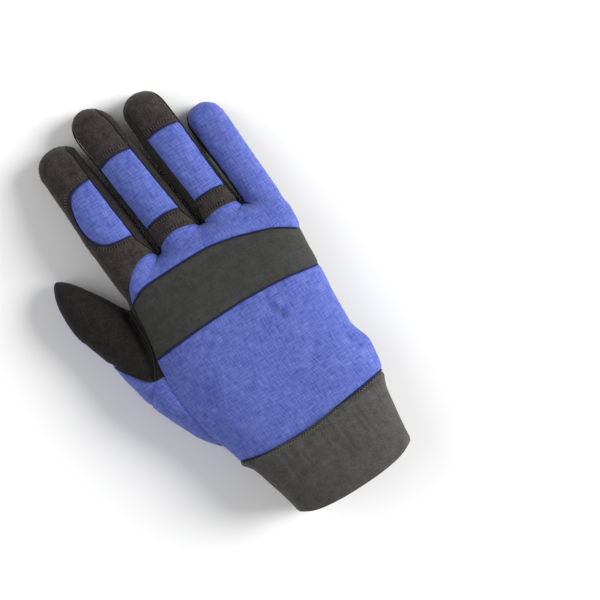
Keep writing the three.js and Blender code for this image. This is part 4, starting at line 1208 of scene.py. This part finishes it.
class GloveColours(bpy.types.PropertyGroup):
    """Colours of the materials: the deep and the pale end of each one's mottling."""

    cloth_deep: colour_property("Cloth, deep", "The blue cloth between its threads", "#142A88")
    cloth_pale: colour_property("Cloth, pale", "The blue cloth on its slubs", "#7888D2")
    leather_deep: colour_property("Leather, deep", "The fingers' leather, its nap away", "#110D0C")
    leather_pale: colour_property("Leather, pale", "The fingers' leather, its nap to the eye", "#433C3A")
    palm_deep: colour_property("Palm, deep", "The palm's leather, its nap away", "#050303")
    palm_pale: colour_property("Palm, pale", "The palm's leather, its nap to the eye", "#282423")
    side_deep: colour_property("Side strips, deep", "The stretch knit between its threads", "#0E0B0A")
    side_pale: colour_property("Side strips, pale", "The stretch knit on its threads", "#3A3330")
    band_deep: colour_property("Band, deep", "The knuckle band in its pores", "#262725")
    band_pale: colour_property("Band, pale", "The knuckle band on its face", "#434441")
    cuff_deep: colour_property("Cuff, deep", "The elastic between its ribs", "#302F2D")
    cuff_pale: colour_property("Cuff, pale", "The elastic on its ribs", "#575654")
    tab_deep: colour_property("Tab, deep", "The closing tab where it is rubbed", "#55524F")
    tab_pale: colour_property("Tab, pale", "The closing tab where it is clean", "#6B6865")
    # The seam edge's colours are far darker than the cloth: painted shade of the seams' grooves.
    edge_deep: colour_property("Seam edge, deep", "The folded cloth in a seam, in its shade", "#0C1030")
    edge_pale: colour_property("Seam edge, pale", "The folded cloth in a seam, on its threads", "#252F66")
    pile_deep: colour_property("Loop pile, deep", "The loop patch between its loops", "#050505")
    pile_pale: colour_property("Loop pile, pale", "The loop patch on its loops", "#242222")


# The threads' colours, between their twists and on them.
THREADS = [
    ("pale", "#7E7B78", "#C9C6C0"), ("brown", "#2A1D17", "#5E4939"), ("olive", "#4A4A38", "#77775C"),
    ("dark", "#0B0B0B", "#1E1E1E"),
]


class GLOVE_OT_materials(bpy.types.Operator):
    """Makes the finishes"""

    bl_idname = "glove.materials"
    bl_label = "Materials"

    def execute(self, context):
        group = context.scene.glove_colours
        made = {}
        for key in ("cloth", "leather", "palm", "side", "band", "cuff", "tab", "edge", "pile"):
            made[key] = tuple(getattr(group, f"{key}_deep")), tuple(getattr(group, f"{key}_pale"))
        # Nylon and elastane, woven plain from slubbed yarn and dyed blue: a soft matt cloth whose thicker
        # threads show as short pale streaks each way. Its threads are 0.5 mm apart; 1.1 mm here, so that
        # they show in the picture.
        MATERIALS["cloth"] = cloth_material("nylon_spandex_cloth", made["cloth"], 1.1, 0.6, 0.22, 0.85, 0.1)
        # Polyester and elastane, knitted fine for the strips between the fingers: dull and almost black,
        # with faint threads. Coarsened like the cloth, from 0.4 mm to 1.0 mm.
        MATERIALS["stretch"] = cloth_material("stretch_knit", made["side"], 1.0, 0.7, 0.2, 0.9, 0.1)
        # Rubber threads knitted into cotton and steamed: a matt, furry grey, cloudy where it was stretched.
        MATERIALS["elastic"] = nap_material("knitted_elastic", made["cuff"], 5.0, 0.7, 0.25, 0.9, 0.05, 0.4)
        # The blue cloth folded under and pressed, seen on edge in the seams: a dark line whose deep blue is
        # painted shade of the seam's groove.
        MATERIALS["edge"] = cloth_material("folded_cloth_edge", made["edge"], 1.1, 0.9, 0.1, 0.9, 0.0)
        # Microfibre bonded with polyurethane and sanded to a nap: it scatters light, and is blotchy in
        # patches of some 4 mm where the nap was brushed. Its fibres are finer than 0.1 mm; 0.8 mm here, so
        # that they show.
        nap = (4.0, 0.8, 0.3)  # patches, fibres and relief of both leathers
        leather = "napped_microfibre_leather"
        MATERIALS["suede"] = nap_material(leather, made["leather"], *nap, 0.92, 0.12, 0.32)
        # The same, darker and pressed flatter: the palm, the thumb and the pads.
        MATERIALS["palm"] = nap_material("napped_palm_leather", made["palm"], *nap, 0.95, 0.08, 0.32)
        # Foamed rubber pressed hot with a knit on its face: even, matt and smooth, with pores of 0.7 mm.
        MATERIALS["band"] = nap_material("moulded_neoprene", made["band"], 5.0, 0.7, 0.12, 0.8, 0.05, 0.4)
        # Rubber moulded in a smooth tool: a soft gloss, and tones that change over 9 mm where it is rubbed.
        MATERIALS["tab"] = nap_material("moulded_rubber", made["tab"], 9.0, 0.6, 0.08, 0.45, 0.0, 0.6)
        # Nylon loops brushed up from a knit: deep black, with a fuzz of 0.5 mm that is paler at its rim.
        MATERIALS["pile"] = nap_material("loop_pile", made["pile"], 1.5, 0.5, 0.6, 1.0, 0.3)
        # Polyester spun and twisted: a slight gloss in slanting bands of 0.5 mm.
        for tone, deep, pale in THREADS:
            twist = (linear(deep), linear(pale)), 0.5
            MATERIALS[f"{tone}_thread"] = thread_material(f"{tone}_polyester_thread", *twist)
        return {"FINISHED"}


class GLOVE_OT_skin(bpy.types.Operator):
    """Works out the skin and cuts its panels"""

    bl_idname = "glove.skin"
    bl_label = "Skin"

    def execute(self, context):
        cut_panels(context.scene.glove_sizes.step / MM)
        return {"FINISHED"}


# The piece that each panel's node becomes, and its finish.
PANEL_PIECES = {
    "thumb_gusset": ("gusset_cloth", "cloth"),
    "palm": ("palm_leather", "palm"),
    "thumb_back": ("thumb_leather", "palm"),
    "fourchette_index_middle": ("side_strip_index_middle", "stretch"),
    "fourchette_middle_ring": ("side_strip_middle_ring", "stretch"),
    "fourchette_ring_little": ("side_strip_ring_little", "stretch"),
    "side_panel": ("side_panel_cloth", "cloth"),
    "index_inset": ("index_inset_cloth", "cloth"),
    "index_back": ("index_back_leather", "suede"),
    "middle_strip": ("middle_strip_leather", "suede"),
    "middle_back": ("middle_back_cloth", "cloth"),
    "middle_tip": ("middle_tip_leather", "suede"),
    "ring_strip": ("ring_strip_leather", "suede"),
    "ring_back": ("ring_back_cloth", "cloth"),
    "ring_tip": ("ring_tip_leather", "suede"),
    "knuckle_band": ("knuckle_band_neoprene", "band"),
    "hand_back_lower": ("back_cloth", "cloth"),
    "hand_back_upper": ("knuckle_cloth", "cloth"),
}
PANEL_SLOTS = {
    "cloth": "blue_cloth", "palm": "suede", "suede": "suede", "stretch": "stretch_side",
    "band": "knuckle_band",
}


class GLOVE_OT_panels(bpy.types.Operator):
    """Sews the panels"""

    bl_idname = "glove.panels"
    bl_label = "Panels"

    def execute(self, context):
        sizes = context.scene.glove_sizes
        for name, (piece_name, finish) in PANEL_PIECES.items():
            slot = PANEL_SLOTS[finish]
            sew_panel(name, piece_name, finish, slot, sizes.roll / MM, sizes.cloth / MM)
        return {"FINISHED"}


class GLOVE_OT_seams(bpy.types.Operator):
    """Lays the folded cloth edges in the seams, coloured dark blue as painted shade, and dark seam threads
    that are partly painted shade
    """

    bl_idname = "glove.seams"
    bl_label = "Seams"

    def execute(self, context):
        # Cords along these seams in the dark edge colour: a real folded edge, with its darkness painted
        # shade of the groove.
        lines = [
            curve(on_hand(BAND_LOWER_SEAM))[:-5], curve(on_hand(BAND_UPPER_SEAM))[:-8],
            curve(on_finger(FINGERS[0], INSET_OUTLINE)), curve(on_hand(WRIST_SEAM)),
        ]
        for finger in FINGERS[1:3]:
            edges = PANEL_EDGES[finger.name]
            lines += [finger_line(finger, edges[key], -0.86, 0.9, 21) for key in ("blue", "tip")]
        cords = []
        for line in lines:
            line = evenly(line)
            p, normal = on_skin(line)
            above = (p[:, 2] > seam_height(p, True) + 0.3) & still_there(p, line)
            cords.append(sunk_cord(p[above], normal[above], 0.2, 0.45))
        p, faces = joined(cords)
        add_piece("seam_edges", p, faces, "edge", "blue_cloth", weave=p[:, :2])
        # Dark thread cords along the side strips' seams and the thumb's seams: partly real seam thread,
        # partly painted shade in the seams' grooves.
        strip_seams = ((0, 1), (1, -1), (1, 1), (2, -1), (2, 1), (3, -1))
        cords = [sunk_cord(*side_seam(which, side), 0.15, 0.4) for which, side in strip_seams]
        for line in (curve(on_hand(THUMB_WEB_SEAM)), curve(on_thumb(THUMB_LEATHER_SEAM))[10:]):
            cords.append(sunk_cord(*on_skin(evenly(line)), 0.2, 0.4))
        add_piece("seam_threads", *joined(cords), "dark_thread", "dark_thread")
        return {"FINISHED"}


class GLOVE_OT_pads(bpy.types.Operator):
    """Sews the palm's padding on"""

    bl_idname = "glove.pads"
    bl_label = "Pads"

    def execute(self, context):
        for name, rows in PADS.items():
            outline = pad_outline(rows)
            parts = []
            for values, faces in SKINS:
                p = values[:, :3]
                edge = np.maximum(inside(outline, p), p[:, 2] - seam_height(p, False) + 2)
                if (edge < 0).any():
                    parts.append(cut_out(values, faces, edge, edge))
            values, faces = joined(parts)
            p, normal, weave, depth = parts_of(values)
            p = p + normal * pad_lift(depth, p, normal)[:, None]
            p[:, 2] = np.maximum(p[:, 2], LOWEST)
            piece = add_piece(name + "_leather", p, faces, "palm", "suede", [name], 1.0, weave)
        return {"FINISHED"}


class GLOVE_OT_stitches(bpy.types.Operator):
    """Sews the rows of stitches that show"""

    bl_idname = "glove.stitches"
    bl_label = "Stitches"

    def execute(self, context):
        ladders = []
        for finger in FINGERS[1:3]:
            edges = PANEL_EDGES[finger.name]
            for key, shift in (("tip", 2.6), ("strip", 2.0), ("blue", -2.0)):
                ladders.append(finger_line(finger, edges[key], -0.8, 0.86, 21, shift))
        ladders.append(beside(curve(on_finger(FINGERS[0], INSET_OUTLINE)), 2.2)[6:-5])
        ladders = [ladder_stitches(line, 1.9, 1.5) for line in ladders]
        thumb = curve(THUMB_STITCHES)
        stitch_rows("thumb_stitches", [running_stitches(thumb, 1.1, 1.0)], "dark_thread", 0.17, 0.05)
        stitch_rows("ladder_stitches", ladders, "brown_thread", 0.22, 0.12)
        tab = tab_outline(TAB_ROOT_X - TAB_LENGTH + TAB_RIM, TAB_ROOT_X, TAB_WIDTH - 2 * TAB_RIM)
        rows = running_stitches(np.roll(tab, -1, 0)[:-1], 2.0, 0.6)
        kept = np.maximum(inside(cuff_plan(), rows[0]), inside(cuff_plan(), rows[1])) < -1.8
        heights = np.full(kept.sum(), TAB_STAND)
        ends = [settle(np.column_stack([row[kept], heights]), TAB_BED.distance) for row in rows]
        ends = [p + normal * (TAB_STAND - 0.35) for p, normal in ends]
        p, faces = thread_bars(*ends, np.broadcast_to((0, 0, -1.0), ends[0].shape), 0.3, 0.1)
        add_piece("tab_stitches", p, faces, "dark_thread", "dark_thread")
        hem = [zigzag_stitches(beside(curve(on_hand(WRIST_SEAM)), -1.5)[4:-4], 1.6, 0.9)]
        stitch_rows("hem_stitches", hem, "olive_thread", 0.2, 0.05, cuff_lift, False, CUFF.distance)
        for name, rows in PADS.items():
            outline = pad_outline(rows)
            lines = [running_stitches(beside(outline, distance), 1.9, 0.5) for distance in (-0.8, 1.5)]

            def on_pad(p, normal, outline=outline):
                depth = -inside(outline, p)
                return 0.1 + np.where(depth > 0, pad_lift(depth, p, normal), on_panel(p, normal))

            stitch_rows(name + "_stitches", lines, "pale_thread", 0.24, 0.1, on_pad, True)
        return {"FINISHED"}


def cuff_plan():
    """The cuff's outline in plan, between the wrist seam and its open end."""
    end = CUFF_END * (CUFF_END_WIDTH, -CUFF_LENGTH) + (CUFF_SHIFT, 0)
    return np.vstack([curve(on_hand(WRIST_SEAM)), curve(end)])


def cuff_lift(p, normal):
    """How high the cuff stands off its tube: broad lumps, and a folded hem on top by the wrist seam."""
    hem = (1 - ramp(4.2, 4.9, near_line(on_hand(WRIST_SEAM), p))) * ramp(0.1, 0.7, normal[:, 2])
    return 0.25 * lumps(p, 14.0, 5) + 0.55 * hem - 0.3


def cuff_skin(limb, stand, end):
    """The cuff's tube up to an end, moved outwards by the stand below, and by a quarter of it elsewhere."""
    y = np.arange(-CUFF_LENGTH - 2, end + TAB_STEP / 2, TAB_STEP)
    raw, faces = tube_grid(limb, y, y, int(240 / TAB_STEP))
    p, normal = settle(raw[:, :3], limb.distance)
    below = ramp(0.2, 0.9, -normal[:, 2])
    p = p + normal * (stand * mix(0.25, 1, below))[:, None]
    return np.hstack([p, normal, raw[:, 3:]]), faces


# The binding's corners in plan, as shares of its width and length.
BINDING_CORNERS = np.array([(0, -1), (1, -1), (1, 0), (0, 0)])


def tab_outline(left, right, width):
    """A strip with one round end, in plan: straight sides, and a cubic curve round the end."""
    middle = -TAB_DROP - TAB_WIDTH / 2
    low, high = middle - width / 2, middle + width / 2
    start = left + width * TAB_ROUNDNESS
    t = np.linspace(0, 1, 40)[:, None]
    a, b, c, d = np.array([(start, high), (left, high), (left, low), (start, low)])
    bend = a * (1 - t) ** 3 + 3 * b * t * (1 - t) ** 2 + 3 * c * t**2 * (1 - t) + d * t**3
    return np.vstack([[(right, low), (right, high)], bend])


class GLOVE_OT_cuff(bpy.types.Operator):
    """Knits the cuff and closes it with its tab"""

    bl_idname = "glove.cuff"
    bl_label = "Cuff"

    def execute(self, context):
        cuff_outline = cuff_plan()
        values, faces = cuff_skin(CUFF, 0.0, 8)
        edge = inside(cuff_outline, values)
        tucked = (edge > 0) & (values[:, 1] > -CUFF_LENGTH / 3)
        values, faces = cut_out(values, faces, edge, edge - np.where(tucked, 3.5, SLACK))
        p, normal, weave, depth = parts_of(values)
        pleats = lumps(np.stack([weave[:, 0] / 1.7, p[:, 1] / 14, 0 * p[:, 1]], 1), 1.0, 8)
        pleats *= ramp(-34, -6, p[:, 1])
        drawn = 0.2 + 0.3 * np.exp(-(((p[:, 0] - 12) / 16) ** 2))
        rolled = 0.8 * (1 - ramp(-0.4, 1.6, depth))
        lift = cuff_lift(p, normal) - 0.1 + drawn * pleats * ramp(0, 3, depth) - rolled
        lift -= 1.6 * ramp(0.3, 2.5, -depth)
        p = p + normal * lift[:, None]
        add_piece("cuff_elastic", p, faces, "elastic", "elastic", ["cuff"], 1.8, weave)
        left = TAB_ROOT_X - TAB_LENGTH
        plans = {
            "wrist_tab": tab_outline(left, TAB_ROOT_X, TAB_WIDTH),
            "loop_patch": tab_outline(left - LOOP_PATCH_MARGIN, left + TAB_LENGTH / 2, TAB_WIDTH - 1),
            "tab_binding": BINDING_CORNERS * (BINDING_WIDTH, TAB_WIDTH) + (BINDING_X, -TAB_DROP),
        }
        pieces = [
            ("wrist_tab", TAB_STAND - 0.05, 2.0, "tab", "moulded_tab"),
            ("loop_patch", 1.2, 0.9, "pile", "loop_pile"),
            ("tab_binding", 3.6, 2.4, "elastic", "binding"),
        ]
        for name, stand, wall, finish, slot in pieces:
            values, faces = cuff_skin(TAB_BED, stand, 0)
            top = 12.0 if name == "tab_binding" else CUFF_END_DEPTH / 2
            edge = np.maximum(inside(plans[name], values), values[:, 2] - top)
            edge = np.maximum(edge, inside(cuff_outline, values) - 0.4)
            values, faces = cut_out(values, faces, edge, edge)
            p, normal, weave, depth = parts_of(values)
            lift = -0.5 * (1 - ramp(-0.5, 1.0, depth))
            if name == "wrist_tab":
                lift = lift - 0.7 * ramp(TAB_RIM - 0.4, TAB_RIM + 0.5, depth)
            p = p + normal * lift[:, None]
            p[:, 2] = np.maximum(p[:, 2], LOWEST)
            add_piece(name + "_sewn", p, faces, finish, slot, [name], wall, weave)
        return {"FINISHED"}


class GLOVE_OT_stage(bpy.types.Operator):
    """Lays the glove on a pale floor under soft light, with the camera straight above"""

    bl_idname = "glove.stage"
    bl_label = "Stage"

    def execute(self, context):
        mesh = bpy.data.meshes.new("floor")
        half = 3.0
        corners = [(-half, -half, 0), (half, -half, 0), (half, half, 0), (-half, half, 0)]
        mesh.from_pydata(corners, [], [(0, 1, 2, 3)])
        floor = bpy.data.objects.new("floor", mesh)
        context.scene.collection.objects.link(floor)
        material = bpy.data.materials.new("white_card")
        material.use_nodes = True
        shader = material.node_tree.nodes["Principled BSDF"]
        shader.inputs["Base Color"].default_value = linear("#FFFFFF")
        shader.inputs["Roughness"].default_value = 0.9
        mesh.materials.append(material)
        turn = math.radians(VIEW_TURN)
        right = Vector((math.cos(turn), -math.sin(turn), 0))
        up = Vector((math.sin(turn), math.cos(turn), 0))
        camera = bpy.data.objects.new("camera", bpy.data.cameras.new("camera"))
        camera.data.lens = CAMERA_LENS
        camera.data.sensor_width = CAMERA_SENSOR
        place = right * VIEW_RIGHT + up * VIEW_UP
        height = VIEW_WIDTH * CAMERA_LENS / CAMERA_SENSOR + VIEW_HEIGHT
        camera.matrix_world = Matrix((
            (right.x, up.x, 0, place.x * MM), (right.y, up.y, 0, place.y * MM), (0, 0, 1, height * MM),
            (0, 0, 0, 1),
        ))
        context.scene.collection.objects.link(camera)
        context.scene.camera = camera
        lamps = [
            ("key", right * 0.9 + up * 0.3 + Vector((0, 0, 0.5)), 36, 4.1),
            ("fill", -right * 1.4 + Vector((0, 0, 1)), 60, 1.15),
        ]
        for name, towards, soft, power in lamps:
            lamp = bpy.data.lights.new(name, "SUN")
            lamp.angle = math.radians(soft)
            lamp.energy = power
            piece = bpy.data.objects.new(name, lamp)
            piece.rotation_mode = "QUATERNION"
            piece.rotation_quaternion = (-towards).to_track_quat("-Z", "Y")
            context.scene.collection.objects.link(piece)
        world = bpy.data.worlds.new("soft_room")
        world.use_nodes = True
        sky = world.node_tree.nodes["Background"]
        sky.inputs["Color"].default_value = (1, 1, 1, 1)
        sky.inputs["Strength"].default_value = 0.3
        context.scene.world = world
        context.scene.view_settings.view_transform = "Standard"
        return {"FINISHED"}


class GLOVE_PT_panel(bpy.types.Panel):
    """Lists the sewing steps"""

    bl_idname = "GLOVE_PT_panel"
    bl_label = "Glove"
    bl_space_type = "VIEW_3D"
    bl_region_type = "UI"
    bl_category = "Glove"

    def draw(self, context):
        for group in (context.scene.glove_sizes, context.scene.glove_colours):
            for key in group.__annotations__:
                self.layout.prop(group, key)
        for step in STEPS:
            self.layout.operator(step.bl_idname)


STEPS = (
    GLOVE_OT_stage, GLOVE_OT_materials, GLOVE_OT_skin, GLOVE_OT_panels, GLOVE_OT_seams, GLOVE_OT_pads,
    GLOVE_OT_cuff, GLOVE_OT_stitches,
)
GROUPS = (GloveSizes, GloveColours)


def register():
    """Registers the groups, operators and panel."""
    for kind in (*GROUPS, *STEPS, GLOVE_PT_panel):
        bpy.utils.register_class(kind)
    bpy.types.Scene.glove_sizes = PointerProperty(type=GloveSizes)
    bpy.types.Scene.glove_colours = PointerProperty(type=GloveColours)


def unregister():
    """Takes them out again."""
    del bpy.types.Scene.glove_sizes
    del bpy.types.Scene.glove_colours
    for kind in (GLOVE_PT_panel, *reversed(STEPS), *GROUPS):
        bpy.utils.unregister_class(kind)


def main():
    """Runs every step in order."""
    register()
    for step in STEPS:
        group, name = step.bl_idname.split(".")
        getattr(getattr(bpy.ops, group), name)()


if __name__ == "__main__":
    main()
